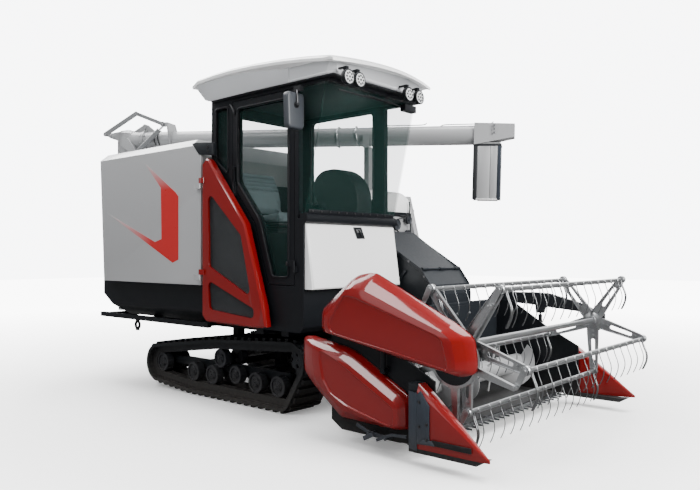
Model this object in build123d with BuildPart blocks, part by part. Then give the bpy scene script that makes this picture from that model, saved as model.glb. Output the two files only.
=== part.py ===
"""Full-feed combine harvester on rubber tracks: cab and grain tank on the right, thresher on the left.

Millimetres. X runs forward, Y to the machine's left, Z up from the ground.
The origin lies on the ground under the middle of the machine's length and width.
"""
from build123d import *
import math
import os

os.makedirs("parts", exist_ok=True)

# Clearances
FIT = 0.3  # a piece beside its seat, or a pin in its bore
GAP = 6  # a door or a cover beside its frame
SHEET = 4  # moulded covers
PLATE = 8  # folded steel

# Tracks
TRACK_Y = 600
TRACK_W = 400
LUG_H = 22
LUG_W = 352
LUG_LENGTH = 38
LUG_PITCH = 90
BAND_T = 28
PATH_H = 62  # raised path that the rollers run on
PATH_W = 84
PATH_Y = 96
TRACK_T = LUG_H + BAND_T + PATH_H

# Wheels inside each track
ROLLER_R = 87
CARRIER_R = 83
IDLER_R = 88
SPROCKET_R = 143
SPROCKET_W = 60
AXLE_R = 20
DISC_W = 70
FRONT_BEND_R = 130
SPROCKET_X, SPROCKET_Z = 370, 420
FRONT_BEND_X = 270
CARRIER_X, CARRIER_Z = -577, 360
IDLER_X, IDLER_Z = -1460, 240
ROLLER_X = (171, -105, -696, -972)
ROLLER_Z = TRACK_T + FIT + ROLLER_R
GUIDE_X, GUIDE_Z, GUIDE_R = -370, 235, 78

# The belt's outer line runs round these circles: x, z, radius
BELT = (
    (FRONT_BEND_X, FRONT_BEND_R, FRONT_BEND_R),
    (SPROCKET_X, SPROCKET_Z, SPROCKET_R + FIT + BAND_T + LUG_H),
    (CARRIER_X, CARRIER_Z, CARRIER_R + FIT + TRACK_T),
    (IDLER_X, IDLER_Z, IDLER_R + FIT + TRACK_T),
    (ROLLER_X[-1], ROLLER_Z, ROLLER_R + FIT + TRACK_T),
)

# Side beams that carry the rollers
BEAM_W = 44
BEAM_BOTTOM, BEAM_TOP = 225, 300
BEAM_FRONT = 212

# Chassis
FRAME_Y = 300
FRAME_W = 80
FRAME_BOTTOM, FRAME_TOP = 580, 660
FRAME_REAR, FRAME_FRONT = -2120, 540
CROSS_H = 44
DECK_Z = FRAME_TOP + CROSS_H
CROSS_W = 80
CROSS_X = (-2060, -1300, -560, 215, 500)
LEG_X = (-834, -242)
LEG_W = 80
LEG_BOTTOM = 235
OUTRIGGER_Y = 960

# Grain tank and the dark body under it
TANK_RIGHT, TANK_LEFT = -1080, 90
TANK_FLOOR, TANK_TOP = 1030, 2280
TANK_BEVEL_Y, TANK_BEVEL_Z = 90, 70
TANK_REAR, TANK_REAR_TOP = -1950, -2025
TANK_FRONT = -392
BODY_RIGHT = -1000
BODY_REAR = -2090
BODY_TUCK = 95

# Thresher
THRESHER_RIGHT = TANK_LEFT
THRESHER_LEFT = 900
THRESHER_TOP = 1900
THRESHER_FRONT = 340
THRESHER_REAR = -1950
HOOD_R = 190
COVER_T = 90
STRAW_REAR = -2566

# Cab
CAB_RIGHT, CAB_LEFT = -1000, TANK_LEFT
CAB_REAR, CAB_FRONT = -350, 740
POST_FRONT = 680
CAB_FLOOR = 1045
CAB_TOP = 2570
WALL = 50
SILL_Z = 1560
SILL_R = 40
GLASS_T = 6
SEAT_DECK = 1460
GLASS_TOP_X = 960

# Screen panel in front of the tank, right of the engine
SCREEN_Y = -1100
SCREEN_T = 60
SCREEN_REAR = -355

# Roof
ROOF_RIGHT, ROOF_LEFT = -1080, 120
ROOF_TOP = 2800
ROOF_NOSE = 1200

# Header and feeder
LIFT_X, LIFT_Z = 430, 1330  # the feeder's upper shaft, on which the header swings
FEEDER_RIGHT, FEEDER_LEFT = 130, 730
FEEDER_R = 170
WALL_X = 1185  # inner face of the header's rear wall
HEADER_HALF = 1075
SIDE_T = 15
BEAM_SIZE = 72
BEAM_Z = 800
AUGER_X, AUGER_Z = 1400, 315
FLIGHT_R = 200
AUGER_TUBE_R = 80
FLIGHT_PITCH = 340
TROUGH_R = 222
KNIFE_X = 1780
KNIFE_Z = 88
TIP_X = 2400
TIP_Z = 125
WALL_OUT = HEADER_HALF + SIDE_T  # outer face of the header's side walls
SHIELD_OUT = WALL_OUT + 100
HEADER_OUT = SHIELD_OUT + 10

# Reel
ARM_X, ARM_Z = 1170, 905  # the reel arms' pivot
ARM_T = 40
ARM_Y = WALL_OUT + ARM_T / 2
REEL_X, REEL_Z = 2120, 745
REEL_R = 415
REEL_BARS = 5
REEL_PHASE = -16.5
REEL_TUBE_R = 21
BAR_R = 13
STAR_Y = HEADER_HALF - 90
STAR_T = 32
CRANK_Y = STAR_Y + STAR_T / 2 + 10
RING_T = 30
RING_Y = CRANK_Y + RING_T / 2 + 8
RING_X, RING_Z = REEL_X - 50, REEL_Z - 100  # centre of the eccentric ring
RING_IN, RING_OUT = 150, 168
TINES = 14
TINE_PITCH = (2 * STAR_Y - 228) / (TINES - 1)
TINE_DROP = 235

# Unloading auger
RISER_X, RISER_Y = -2250, -630
RISER_R = 100
RISER_TOP = 2290
BOOM_Z = 2490
BOOM_YAW = 26.25
BOOM_FALL = 1.5
BOOM_R = 90
BOOM_START = 212
BOOM_LENGTH = 3640
HOOD_LENGTH = 360


def save(piece, label):
    """Name a finished piece and write it."""
    piece.part.label = label
    export_step(piece.part, f"parts/{label}.step")


def side_plane(y):
    """Plane seen from the right at a given Y: local x is X, local y is Z, and it extrudes to the right."""
    return Plane.XZ.offset(-y)


def belt_headings(wheels):
    """Heading of the tangent that leaves each circle, in degrees."""
    headings = []
    for (x1, z1, r1), (x2, z2, r2) in zip(wheels, wheels[1:] + wheels[:1]):
        reach = math.hypot(x2 - x1, z2 - z1)
        line = math.degrees(math.atan2(z2 - z1, x2 - x1))
        headings.append(line + math.degrees(math.asin((r1 - r2) / reach)))
    return headings


def belt_edges(wheels, inset):
    """A closed loop of arcs and tangents round a table of circles, drawn inset from their rims."""
    headings = belt_headings(wheels)
    arcs = []
    with BuildLine() as loop:
        for (x, z, r), before, after in zip(wheels, headings[-1:] + headings[:-1], headings):
            arcs.append(CenterArc((x, z), r - inset, before - 90, (after - before) % 360))
        for arc, following in zip(arcs, arcs[1:] + arcs[:1]):
            Line(arc @ 1, following @ 0)
    return loop.edges()


def turned(x, z, degrees, centre):
    """A point turned about a centre, front upwards."""
    c, s = math.cos(math.radians(degrees)), math.sin(math.radians(degrees))
    dx, dz = x - centre[0], z - centre[1]
    return centre[0] + dx * c - dz * s, centre[1] + dx * s + dz * c


# Rubber tracks
SIDES = ((-1, "right"), (1, "left"))  # side, name


def rubber_track(side, label):
    middle = side_plane(side * TRACK_Y)
    rim = Wire(belt_edges(BELT, LUG_H))
    count = round(rim.length / LUG_PITCH)
    spots = []
    for i in range(count):
        at, heading = rim @ (i / count), rim % (i / count)
        spots.append(Location((at.X, at.Y, 0), (0, 0, math.degrees(math.atan2(heading.Y, heading.X)))))
    with BuildPart() as track:
        with BuildSketch(middle):
            with Locations(*spots):
                Rectangle(LUG_LENGTH, 3 * LUG_H)
            make_face(belt_edges(BELT, 0), mode=Mode.INTERSECT)
            make_face(belt_edges(BELT, LUG_H + BAND_T / 2), mode=Mode.SUBTRACT)
        extrude(amount=LUG_W / 2, both=True)
        with BuildSketch(middle):
            make_face(belt_edges(BELT, LUG_H))
            make_face(belt_edges(BELT, LUG_H + BAND_T), mode=Mode.SUBTRACT)
        extrude(amount=TRACK_W / 2, both=True)
        for shift in (-PATH_Y, PATH_Y):
            with BuildSketch(side_plane(side * TRACK_Y + shift)):
                make_face(belt_edges(BELT, LUG_H + BAND_T))
                make_face(belt_edges(BELT, TRACK_T), mode=Mode.SUBTRACT)
            extrude(amount=PATH_W / 2, both=True)
    save(track, label)


for side, name in SIDES:
    rubber_track(side, f"track_{name}")

# Rollers, guide wheel, carrier wheel and idler of both tracks, each with its axle
DISH = 12
WHEELS = [(x, ROLLER_Z, ROLLER_R) for x in ROLLER_X]
WHEELS += [(CARRIER_X, CARRIER_Z, CARRIER_R), (IDLER_X, IDLER_Z, IDLER_R), (GUIDE_X, GUIDE_Z, GUIDE_R)]
with BuildPart() as rollers:
    for side, name in SIDES:
        for x, z, r in WHEELS:
            with BuildSketch(side_plane(side * TRACK_Y)):
                with Locations((x, z)):
                    Circle(AXLE_R)
            extrude(amount=PATH_Y, both=True)
            for shift in (-PATH_Y, PATH_Y):
                with BuildSketch(side_plane(side * TRACK_Y + shift)):
                    with Locations((x, z)):
                        Circle(r)
                extrude(amount=DISC_W / 2, both=True)
                outwards = math.copysign(1, shift)
                with BuildSketch(side_plane(side * TRACK_Y + shift + outwards * DISC_W / 2)):
                    with Locations((x, z)):
                        Circle(r * 0.8)
                        Circle(AXLE_R * 1.5, mode=Mode.SUBTRACT)
                extrude(amount=outwards * DISH, mode=Mode.SUBTRACT)
save(rollers, "rollers")


# Beams inside the tracks, with a hanger for each axle
with BuildPart() as track_frames:
    for side, name in SIDES:
        with BuildSketch(side_plane(side * TRACK_Y)):
            Polygon(
                (IDLER_X - AXLE_R, BEAM_BOTTOM),
                (BEAM_FRONT, BEAM_BOTTOM),
                (BEAM_FRONT, BEAM_TOP),
                (IDLER_X - AXLE_R, BEAM_TOP),
                align=None,
            )
            for x, z, r in WHEELS:
                with Locations((x, z)):
                    Circle(AXLE_R * 2)
                with Locations((x, (z + BEAM_TOP) / 2)):
                    Rectangle(AXLE_R * 3, abs(BEAM_TOP - z))
            with Locations(*[(x, z) for x, z, r in WHEELS]):
                Circle(AXLE_R + FIT, mode=Mode.SUBTRACT)
        extrude(amount=BEAM_W / 2, both=True)
save(track_frames, "track_frames")

# Drive axle: gearbox between the tracks, with a toothed sprocket on each end
GEARBOX_RIGHT, GEARBOX_LEFT = -190, 130
SHAFT_R = 38
SPROCKET_TEETH = 9
with BuildPart() as drive_axle:
    with BuildSketch(side_plane(GEARBOX_LEFT)):
        Polygon(
            (SPROCKET_X - 210, SPROCKET_Z - 60),
            (SPROCKET_X - 60, SPROCKET_Z - 150),
            (SPROCKET_X + 90, SPROCKET_Z - 100),
            (SPROCKET_X + 110, FRAME_TOP),
            (SPROCKET_X - 210, FRAME_TOP),
            align=None,
        )
    extrude(amount=GEARBOX_LEFT - GEARBOX_RIGHT)
    fillet(drive_axle.edges().filter_by(Axis.Y), radius=30)
    with BuildSketch(side_plane(0)):
        with Locations((SPROCKET_X, SPROCKET_Z)):
            Circle(SHAFT_R)
    extrude(amount=TRACK_Y, both=True)
    for side, name in SIDES:
        with BuildSketch(side_plane(side * TRACK_Y)):
            with Locations((SPROCKET_X, SPROCKET_Z)):
                Circle(SPROCKET_R)
                with PolarLocations(SPROCKET_R, SPROCKET_TEETH, start_angle=20):
                    Circle(24, mode=Mode.SUBTRACT)
                with PolarLocations(SPROCKET_R * 0.55, 5):
                    Circle(20, mode=Mode.SUBTRACT)
        extrude(amount=SPROCKET_W / 2, both=True)
save(drive_axle, "drive_axle")

# Chassis: two rails, cross members, legs to the track beams, the side rail and its tow eye
TOW_X = -1540
TOW_R, TOW_IN = 42, 24
TOW_Z = 612
LIFT_PIN_X, LIFT_PIN_Z, LIFT_Y = 180, 560, 200  # the header cylinder's lower pin
PIN_R = 16
EYE_R = 30
EYE_T = 40
CHEEK_T = 14
with BuildPart() as chassis_frame:
    for y in (-FRAME_Y, FRAME_Y):
        with BuildSketch(side_plane(y)):
            with Locations(((FRAME_REAR + FRAME_FRONT) / 2, (FRAME_BOTTOM + FRAME_TOP) / 2)):
                Rectangle(FRAME_FRONT - FRAME_REAR, FRAME_TOP - FRAME_BOTTOM)
        extrude(amount=FRAME_W / 2, both=True)
    for x in CROSS_X:
        with BuildSketch(Plane.XY.offset(FRAME_TOP)):
            with Locations((x, (THRESHER_LEFT - OUTRIGGER_Y) / 2)):
                Rectangle(CROSS_W, THRESHER_LEFT + OUTRIGGER_Y)
        extrude(amount=CROSS_H)
    for x in LEG_X:
        with BuildSketch(side_plane(0)):
            with Locations((x, LEG_BOTTOM + LEG_W / 2 - 10)):
                Rectangle(LEG_W, LEG_W - 20)
        extrude(amount=TRACK_Y - BEAM_W / 2, both=True)
        with BuildSketch(Plane.XY.offset(LEG_BOTTOM + 30)):
            with Locations((x, -FRAME_Y), (x, FRAME_Y)):
                Rectangle(LEG_W, FRAME_W)
        extrude(amount=FRAME_BOTTOM - LEG_BOTTOM - 30)
    with BuildSketch(Plane.XY.offset(FRAME_TOP)):
        with Locations(((CROSS_X[0] + CROSS_X[2]) / 2, -OUTRIGGER_Y)):
            Rectangle(CROSS_X[2] - CROSS_X[0] + 260, 40)
    extrude(amount=CROSS_H)
    with BuildSketch(side_plane(-OUTRIGGER_Y)):
        with Locations((TOW_X, TOW_Z)):
            Circle(TOW_R)
            Rectangle(TOW_R, 2 * (FRAME_TOP - TOW_Z) + 10)
            with Locations((0, 0)):
                Circle(TOW_IN, mode=Mode.SUBTRACT)
    extrude(amount=9, both=True)
    with BuildSketch(side_plane(LIFT_Y)):
        with Locations((LIFT_PIN_X, LIFT_PIN_Z)):
            Circle(EYE_R)
        with Locations((LIFT_PIN_X, (LIFT_PIN_Z + FRAME_TOP) / 2)):
            Rectangle(2 * EYE_R, FRAME_TOP - LIFT_PIN_Z + 2)
    extrude(amount=EYE_T / 2 + CHEEK_T, both=True)
    with BuildSketch(side_plane(LIFT_Y)):
        with Locations((LIFT_PIN_X, LIFT_PIN_Z - 10)):
            Rectangle(3 * EYE_R, 2 * EYE_R + 60)
    extrude(amount=EYE_T / 2 + 1, both=True, mode=Mode.SUBTRACT)
    with BuildSketch(side_plane(LIFT_Y)):
        with Locations((LIFT_PIN_X, LIFT_PIN_Z)):
            Circle(PIN_R)
    extrude(amount=EYE_T / 2 + CHEEK_T, both=True)
save(chassis_frame, "chassis_frame")

# Engine
ENGINE = (-300, 240, -860, -120, DECK_Z, 1400)  # x0, x1, y0, y1, z0, z1
with BuildPart() as engine_block:
    with BuildSketch(Plane.XY.offset(ENGINE[4])):
        with Locations(((ENGINE[0] + ENGINE[1]) / 2, (ENGINE[2] + ENGINE[3]) / 2)):
            Rectangle(ENGINE[1] - ENGINE[0], ENGINE[3] - ENGINE[2])
    extrude(amount=ENGINE[5] - ENGINE[4])
    chamfer(engine_block.edges().filter_by(Axis.Z), length=30)
save(engine_block, "engine_block")

# Dark body under the grain tank
with BuildPart() as lower_body:
    with BuildSketch(side_plane(TANK_LEFT - 10)):
        Polygon(
            (BODY_REAR, TANK_FLOOR),
            (BODY_REAR, 900),
            (-1840, 744),
            (-1750, DECK_Z),
            (TANK_FRONT, DECK_Z),
            (TANK_FRONT, TANK_FLOOR),
            align=None,
        )
    extrude(amount=TANK_LEFT - 10 - BODY_RIGHT)
    outer = lower_body.edges().filter_by(Axis.X).sort_by(Axis.Y)[:2].sort_by(Axis.Z)[0]
    chamfer(outer, length=BODY_TUCK)
save(lower_body, "lower_body")

# Door hinges: a moving knuckle above a fixed one
HINGE_R = 9
KNUCKLE = 44
SCREEN_HINGE_X, SCREEN_HINGE_Y = SCREEN_REAR - HINGE_R, SCREEN_Y - 12
SCREEN_HINGE_Z = (1120, 1880)
STRAP = 46

# Grain tank, with the fixed knuckles of the screen panel
with BuildPart() as grain_tank:
    with BuildSketch(side_plane(TANK_LEFT)):
        Polygon(
            (TANK_REAR, TANK_FLOOR),
            (TANK_REAR_TOP, TANK_TOP),
            (-560, TANK_TOP),
            (-420, 2120),
            (TANK_FRONT, 2120),
            (TANK_FRONT, TANK_FLOOR),
            align=None,
        )
    extrude(amount=TANK_LEFT - TANK_RIGHT)
    rim = grain_tank.faces().sort_by(Axis.Z)[-1].edges().sort_by(Axis.Y)[0]
    chamfer(rim, length=TANK_BEVEL_Y, length2=TANK_BEVEL_Z, reference=grain_tank.faces().sort_by(Axis.Z)[-1])
    for z in SCREEN_HINGE_Z:
        with BuildSketch(Plane.XY.offset(z - KNUCKLE - FIT)):
            Polygon(
                (SCREEN_HINGE_X, SCREEN_HINGE_Y - 6),
                (SCREEN_HINGE_X, SCREEN_HINGE_Y + HINGE_R),
                (TANK_FRONT - 8, SCREEN_HINGE_Y + HINGE_R),
                (TANK_FRONT - 8, TANK_RIGHT),
                (TANK_FRONT - STRAP, TANK_RIGHT),
                (TANK_FRONT - STRAP, SCREEN_HINGE_Y - 6),
                align=None,
            )
            with Locations((SCREEN_HINGE_X, SCREEN_HINGE_Y)):
                Circle(HINGE_R)
                Circle(HINGE_R / 2 + FIT, mode=Mode.SUBTRACT)
        extrude(amount=KNUCKLE)
save(grain_tank, "grain_tank")

# Screen panel: a door with two mesh windows, hinged at its rear edge
SCREEN_OUTLINE = (
    (SCREEN_REAR, 778),
    (SCREEN_REAR, 2040),
    (-300, 2085),
    (-262, 2068),
    (190, 1530),
    (400, 900),
    (435, 735),
    (330, 722),
    (-300, 730),
)
SCREEN_WINDOWS = (
    ((-270, 1812), (145, 1440), (268, 952), (-257, 1190)),
    ((-270, 1078), (300, 868), (298, 792), (-250, 838)),
)
with BuildPart() as screen_panel:
    with BuildSketch(side_plane(SCREEN_Y + SCREEN_T)):
        Polygon(*SCREEN_OUTLINE, align=None)
    extrude(amount=SCREEN_T)
    chamfer(screen_panel.faces().sort_by(Axis.Y)[0].edges(), length=14)
    with BuildSketch(side_plane(SCREEN_Y + SCREEN_T)) as holes:
        for window in SCREEN_WINDOWS:
            Polygon(*window, align=None)
        fillet(holes.vertices(), radius=36)
    extrude(amount=SCREEN_T, mode=Mode.SUBTRACT)
    for z in SCREEN_HINGE_Z:
        with BuildSketch(Plane.XY.offset(z)):
            Polygon(
                (SCREEN_HINGE_X, SCREEN_HINGE_Y - 6),
                (SCREEN_HINGE_X + STRAP, SCREEN_HINGE_Y - 6),
                (SCREEN_HINGE_X + STRAP, SCREEN_Y),
                (SCREEN_HINGE_X + HINGE_R, SCREEN_Y),
                (SCREEN_HINGE_X, SCREEN_HINGE_Y + HINGE_R - 1),
                align=None,
            )
            with Locations((SCREEN_HINGE_X, SCREEN_HINGE_Y)):
                Circle(HINGE_R)
        extrude(amount=KNUCKLE)
        with BuildSketch(Plane.XY.offset(z - KNUCKLE)):
            with Locations((SCREEN_HINGE_X, SCREEN_HINGE_Y)):
                Circle(HINGE_R / 2)
        extrude(amount=KNUCKLE)
save(screen_panel, "screen_panel")

# Mesh screens, set back in the panel's windows
SCREEN_BACK = 22
with BuildPart() as screens:
    with BuildSketch(side_plane(SCREEN_Y + SCREEN_BACK + 10)) as meshes:
        for window in SCREEN_WINDOWS:
            Polygon(*window, align=None)
        fillet(meshes.vertices(), radius=36)
    extrude(amount=10)
save(screens, "screens")

# Cab floor: foot well, sloping front of the seat box and the seat deck, bent from one plate
FLOOR_T = 30
with BuildPart() as cab_floor:
    with BuildSketch(side_plane(CAB_LEFT - WALL)):
        Polygon(
            (CAB_FRONT - 60, CAB_FLOOR),
            (CAB_FRONT - 60, CAB_FLOOR - FLOOR_T),
            (290, CAB_FLOOR - FLOOR_T),
            (250, SEAT_DECK - FLOOR_T),
            (CAB_REAR + WALL, SEAT_DECK - FLOOR_T),
            (CAB_REAR + WALL, SEAT_DECK),
            (275, SEAT_DECK),
            (315, CAB_FLOOR),
            align=None,
        )
    extrude(amount=CAB_LEFT - CAB_RIGHT - 2 * WALL)
save(cab_floor, "cab_floor")

# Dark box under the foot well
with BuildPart() as front_box:
    with BuildSketch(side_plane(CAB_LEFT - WALL)):
        Polygon(
            (300, DECK_Z),
            (700, DECK_Z),
            (CAB_FRONT, DECK_Z + 40),
            (CAB_FRONT, CAB_FLOOR - FLOOR_T),
            (300, CAB_FLOOR - FLOOR_T),
            align=None,
        )
    extrude(amount=CAB_LEFT - WALL - CAB_RIGHT)
save(front_box, "front_box")

# Cab frame: side walls with a door opening and windows, rear wall, sill and top rails
DOOR = (
    (640, 1058),
    (640, 2528),
    (-70, 2528),
    (-70, 1858),
    (204, 1536),
    (362, 1058),
)
QUARTER = ((-294, 2500), (-130, 2500), (-130, 1950), (-200, 2000), (-294, 2082))
LEFT_WINDOW = ((-200, 2520), (560, 2520), (560, 1740), (-200, 1740))
REAR_WINDOW_Y, REAR_WINDOW_Z = 780, (1900, 2480)
HINGE_X, HINGE_Y = 652, CAB_RIGHT - 14
HINGE_Z = (1200, 2350)
with BuildPart() as cab_frame:
    with BuildSketch(side_plane(CAB_RIGHT + WALL)) as right_wall:
        Polygon(
            (CAB_REAR, CAB_FLOOR - FLOOR_T),
            (CAB_FRONT, CAB_FLOOR - FLOOR_T),
            (CAB_FRONT, SILL_Z),
            (POST_FRONT, SILL_Z),
            (POST_FRONT, CAB_TOP - FIT),
            (CAB_REAR, CAB_TOP - FIT),
            align=None,
        )
        with BuildSketch(mode=Mode.PRIVATE) as opening:
            Polygon(*DOOR, align=None)
            offset(amount=GAP)
        add(opening.sketch, mode=Mode.SUBTRACT)
        with BuildSketch(mode=Mode.PRIVATE) as quarter:
            Polygon(*QUARTER, align=None)
            fillet(quarter.vertices(), radius=25)
        add(quarter.sketch, mode=Mode.SUBTRACT)
    extrude(amount=WALL)
    with BuildSketch(side_plane(CAB_LEFT)) as left_wall:
        Polygon(
            (CAB_REAR, CAB_FLOOR - FLOOR_T),
            (CAB_FRONT, CAB_FLOOR - FLOOR_T),
            (CAB_FRONT, SILL_Z),
            (POST_FRONT, SILL_Z),
            (POST_FRONT, CAB_TOP - FIT),
            (CAB_REAR, CAB_TOP - FIT),
            align=None,
        )
        with BuildSketch(mode=Mode.PRIVATE) as left_hole:
            Polygon(*LEFT_WINDOW, align=None)
            fillet(left_hole.vertices(), radius=40)
        add(left_hole.sketch, mode=Mode.SUBTRACT)
    extrude(amount=WALL)
    with BuildSketch(Plane.YZ.offset(CAB_REAR)) as rear_wall:
        with Locations(((CAB_RIGHT + CAB_LEFT) / 2, (CAB_FLOOR - FLOOR_T + CAB_TOP - FIT) / 2)):
            Rectangle(CAB_LEFT - CAB_RIGHT, CAB_TOP - FIT - CAB_FLOOR + FLOOR_T)
        with Locations(((CAB_RIGHT + CAB_LEFT) / 2, sum(REAR_WINDOW_Z) / 2)):
            RectangleRounded(REAR_WINDOW_Y, REAR_WINDOW_Z[1] - REAR_WINDOW_Z[0], 30, mode=Mode.SUBTRACT)
    extrude(amount=WALL)
    with BuildSketch(side_plane(CAB_LEFT)):
        with Locations((CAB_FRONT, SILL_Z)):
            Circle(SILL_R)
    extrude(amount=CAB_LEFT - CAB_RIGHT)
    for y in (CAB_RIGHT + WALL, CAB_LEFT):
        with BuildSketch(side_plane(y)):
            Polygon(
                (POST_FRONT - 2, CAB_TOP - 35),
                (POST_FRONT - 2, CAB_TOP - FIT),
                (GLASS_TOP_X + 40, CAB_TOP - FIT),
                (GLASS_TOP_X + 40, CAB_TOP - 35),
                align=None,
            )
        extrude(amount=WALL)
    with BuildSketch(side_plane(CAB_LEFT)):
        Polygon(
            (GLASS_TOP_X + 8, CAB_TOP - 35),
            (GLASS_TOP_X + 40, CAB_TOP - 35),
            (GLASS_TOP_X + 40, CAB_TOP - FIT),
            (GLASS_TOP_X + 8, CAB_TOP - FIT),
            align=None,
        )
    extrude(amount=CAB_LEFT - CAB_RIGHT)
    for z in HINGE_Z:
        with BuildSketch(Plane.XY.offset(z - KNUCKLE - FIT)):
            with Locations((HINGE_X, HINGE_Y)):
                Circle(HINGE_R)
            with Locations((HINGE_X + 13, (HINGE_Y + CAB_RIGHT) / 2)):
                Rectangle(26, CAB_RIGHT - HINGE_Y)
            with Locations((HINGE_X, HINGE_Y)):
                Circle(HINGE_R / 2 + FIT, mode=Mode.SUBTRACT)
        extrude(amount=KNUCKLE)
save(cab_frame, "cab_frame")

# Door with its window, and the hinge pins at its front edge
DOOR_STILE = 58
with BuildPart() as cab_door:
    with BuildSketch(side_plane(CAB_RIGHT + WALL - 8)) as door_sketch:
        Polygon(*DOOR, align=None)
        with BuildSketch(mode=Mode.PRIVATE) as pane_hole:
            Polygon(*DOOR, align=None)
            offset(amount=-DOOR_STILE)
            fillet(pane_hole.vertices(), radius=30)
        add(pane_hole.sketch, mode=Mode.SUBTRACT)
    extrude(amount=WALL - 8)
    for z in HINGE_Z:
        with BuildSketch(Plane.XY.offset(z)):
            with Locations((HINGE_X, HINGE_Y)):
                Circle(HINGE_R)
            Polygon(
                (HINGE_X, HINGE_Y - 6),
                (HINGE_X, HINGE_Y + 6),
                (DOOR[0][0] - 8, CAB_RIGHT),
                (DOOR[0][0] - 34, CAB_RIGHT),
                (DOOR[0][0] - 34, HINGE_Y - 6),
                align=None,
            )
        extrude(amount=KNUCKLE)
        with BuildSketch(Plane.XY.offset(z - KNUCKLE)):
            with Locations((HINGE_X, HINGE_Y)):
                Circle(HINGE_R / 2)
        extrude(amount=KNUCKLE)
    with BuildSketch(side_plane(CAB_RIGHT)):
        with Locations((-42, 1930)):
            SlotOverall(150, 26, rotation=90)
            SlotOverall(110, 8, rotation=90, mode=Mode.SUBTRACT)
    extrude(amount=24)
save(cab_door, "cab_door")

with BuildPart() as door_glass:
    with BuildSketch(side_plane(CAB_RIGHT + WALL / 2 + GLASS_T / 2)) as pane:
        Polygon(*DOOR, align=None)
        offset(amount=-DOOR_STILE)
        fillet(pane.vertices(), radius=30)
    extrude(amount=GLASS_T)
save(door_glass, "door_glass")

# Fixed panes: quarter, left and rear windows, the windscreen and the two corner panes beside it
with BuildPart() as cab_glass:
    with BuildSketch(side_plane(CAB_RIGHT + WALL / 2 + GLASS_T / 2)) as quarter_pane:
        Polygon(*QUARTER, align=None)
        fillet(quarter_pane.vertices(), radius=25)
    extrude(amount=GLASS_T)
    with BuildSketch(side_plane(CAB_LEFT - WALL / 2 + GLASS_T / 2)) as left_pane:
        Polygon(*LEFT_WINDOW, align=None)
        fillet(left_pane.vertices(), radius=40)
    extrude(amount=GLASS_T)
    with BuildSketch(Plane.YZ.offset(CAB_REAR + WALL / 2 - GLASS_T / 2)):
        with Locations(((CAB_RIGHT + CAB_LEFT) / 2, sum(REAR_WINDOW_Z) / 2)):
            RectangleRounded(REAR_WINDOW_Y, REAR_WINDOW_Z[1] - REAR_WINDOW_Z[0], 30)
    extrude(amount=GLASS_T)
    for y in (CAB_RIGHT + 10 + GLASS_T, CAB_LEFT - 10):
        with BuildSketch(side_plane(y)):
            Polygon(
                (POST_FRONT, SILL_Z + SILL_R + 1),
                (POST_FRONT, CAB_TOP - 35 - FIT),
                (GLASS_TOP_X - 2, CAB_TOP - 35 - FIT),
                (CAB_FRONT + 6, SILL_Z + SILL_R + 1),
                align=None,
            )
        extrude(amount=GLASS_T)
    with BuildSketch(side_plane(CAB_LEFT - 2)):
        Polygon(
            (CAB_FRONT + 8, SILL_Z + SILL_R + 1),
            (GLASS_TOP_X, CAB_TOP - 35 - FIT),
            (GLASS_TOP_X + GLASS_T, CAB_TOP - 35 - FIT),
            (CAB_FRONT + 8 + GLASS_T, SILL_Z + SILL_R + 1),
            align=None,
        )
    extrude(amount=CAB_LEFT - CAB_RIGHT - 4)
save(cab_glass, "cab_glass")

# Front panel under the windscreen
PANEL_OUT = 830
PANEL_IN = 14
with BuildPart() as front_panel:
    with BuildSketch(side_plane(CAB_LEFT - PANEL_IN)):
        Polygon(
            (CAB_FRONT, SILL_Z - SILL_R - 2),
            (CAB_FRONT + 20, SILL_Z - SILL_R - 2),
            (PANEL_OUT, CAB_FLOOR - 15),
            (CAB_FRONT, CAB_FLOOR - 15),
            align=None,
        )
    extrude(amount=CAB_LEFT - CAB_RIGHT - 2 * PANEL_IN)
    chamfer(front_panel.faces().filter_by(lambda face: face.normal_at().X > 0.5).edges(), length=12)
save(front_panel, "front_panel")

# Seat: cushion and back on a pedestal
SEAT_Y = -560
SEAT_W = 470
with BuildPart() as seat:
    with BuildSketch(Plane.XY.offset(SEAT_DECK)):
        with Locations((20, SEAT_Y)):
            RectangleRounded(360, 380, 30)
    extrude(amount=60)
    with BuildSketch(side_plane(SEAT_Y)) as cushion:
        with BuildLine():
            l1 = Polyline((-190, SEAT_DECK + 60), (250, SEAT_DECK + 60))
            l2 = ThreePointArc(l1 @ 1, (280, SEAT_DECK + 130), (240, SEAT_DECK + 185))
            l3 = Line(l2 @ 1, (-150, SEAT_DECK + 165))
            l4 = ThreePointArc(l3 @ 1, (-190, 1830), (-260, 2010))
            l5 = ThreePointArc(l4 @ 1, (-286, 2020), (-296, 1990))
            Line(l5 @ 1, l1 @ 0)
        make_face()
    extrude(amount=SEAT_W / 2, both=True)
save(seat, "seat")

# Control console on the driver's left
with BuildPart() as console:
    with BuildSketch(side_plane(-110)):
        with BuildLine():
            a1 = Line((330, CAB_FLOOR), (640, CAB_FLOOR))
            a2 = Line(a1 @ 1, (668, 1700))
            a3 = ThreePointArc(a2 @ 1, (560, 1950), (330, 2010))
            a4 = ThreePointArc(a3 @ 1, (200, 1960), (150, 1840))
            a5 = Line(a4 @ 1, (300, 1560))
            Line(a5 @ 1, a1 @ 0)
        make_face()
    extrude(amount=190)
save(console, "console")

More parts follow.
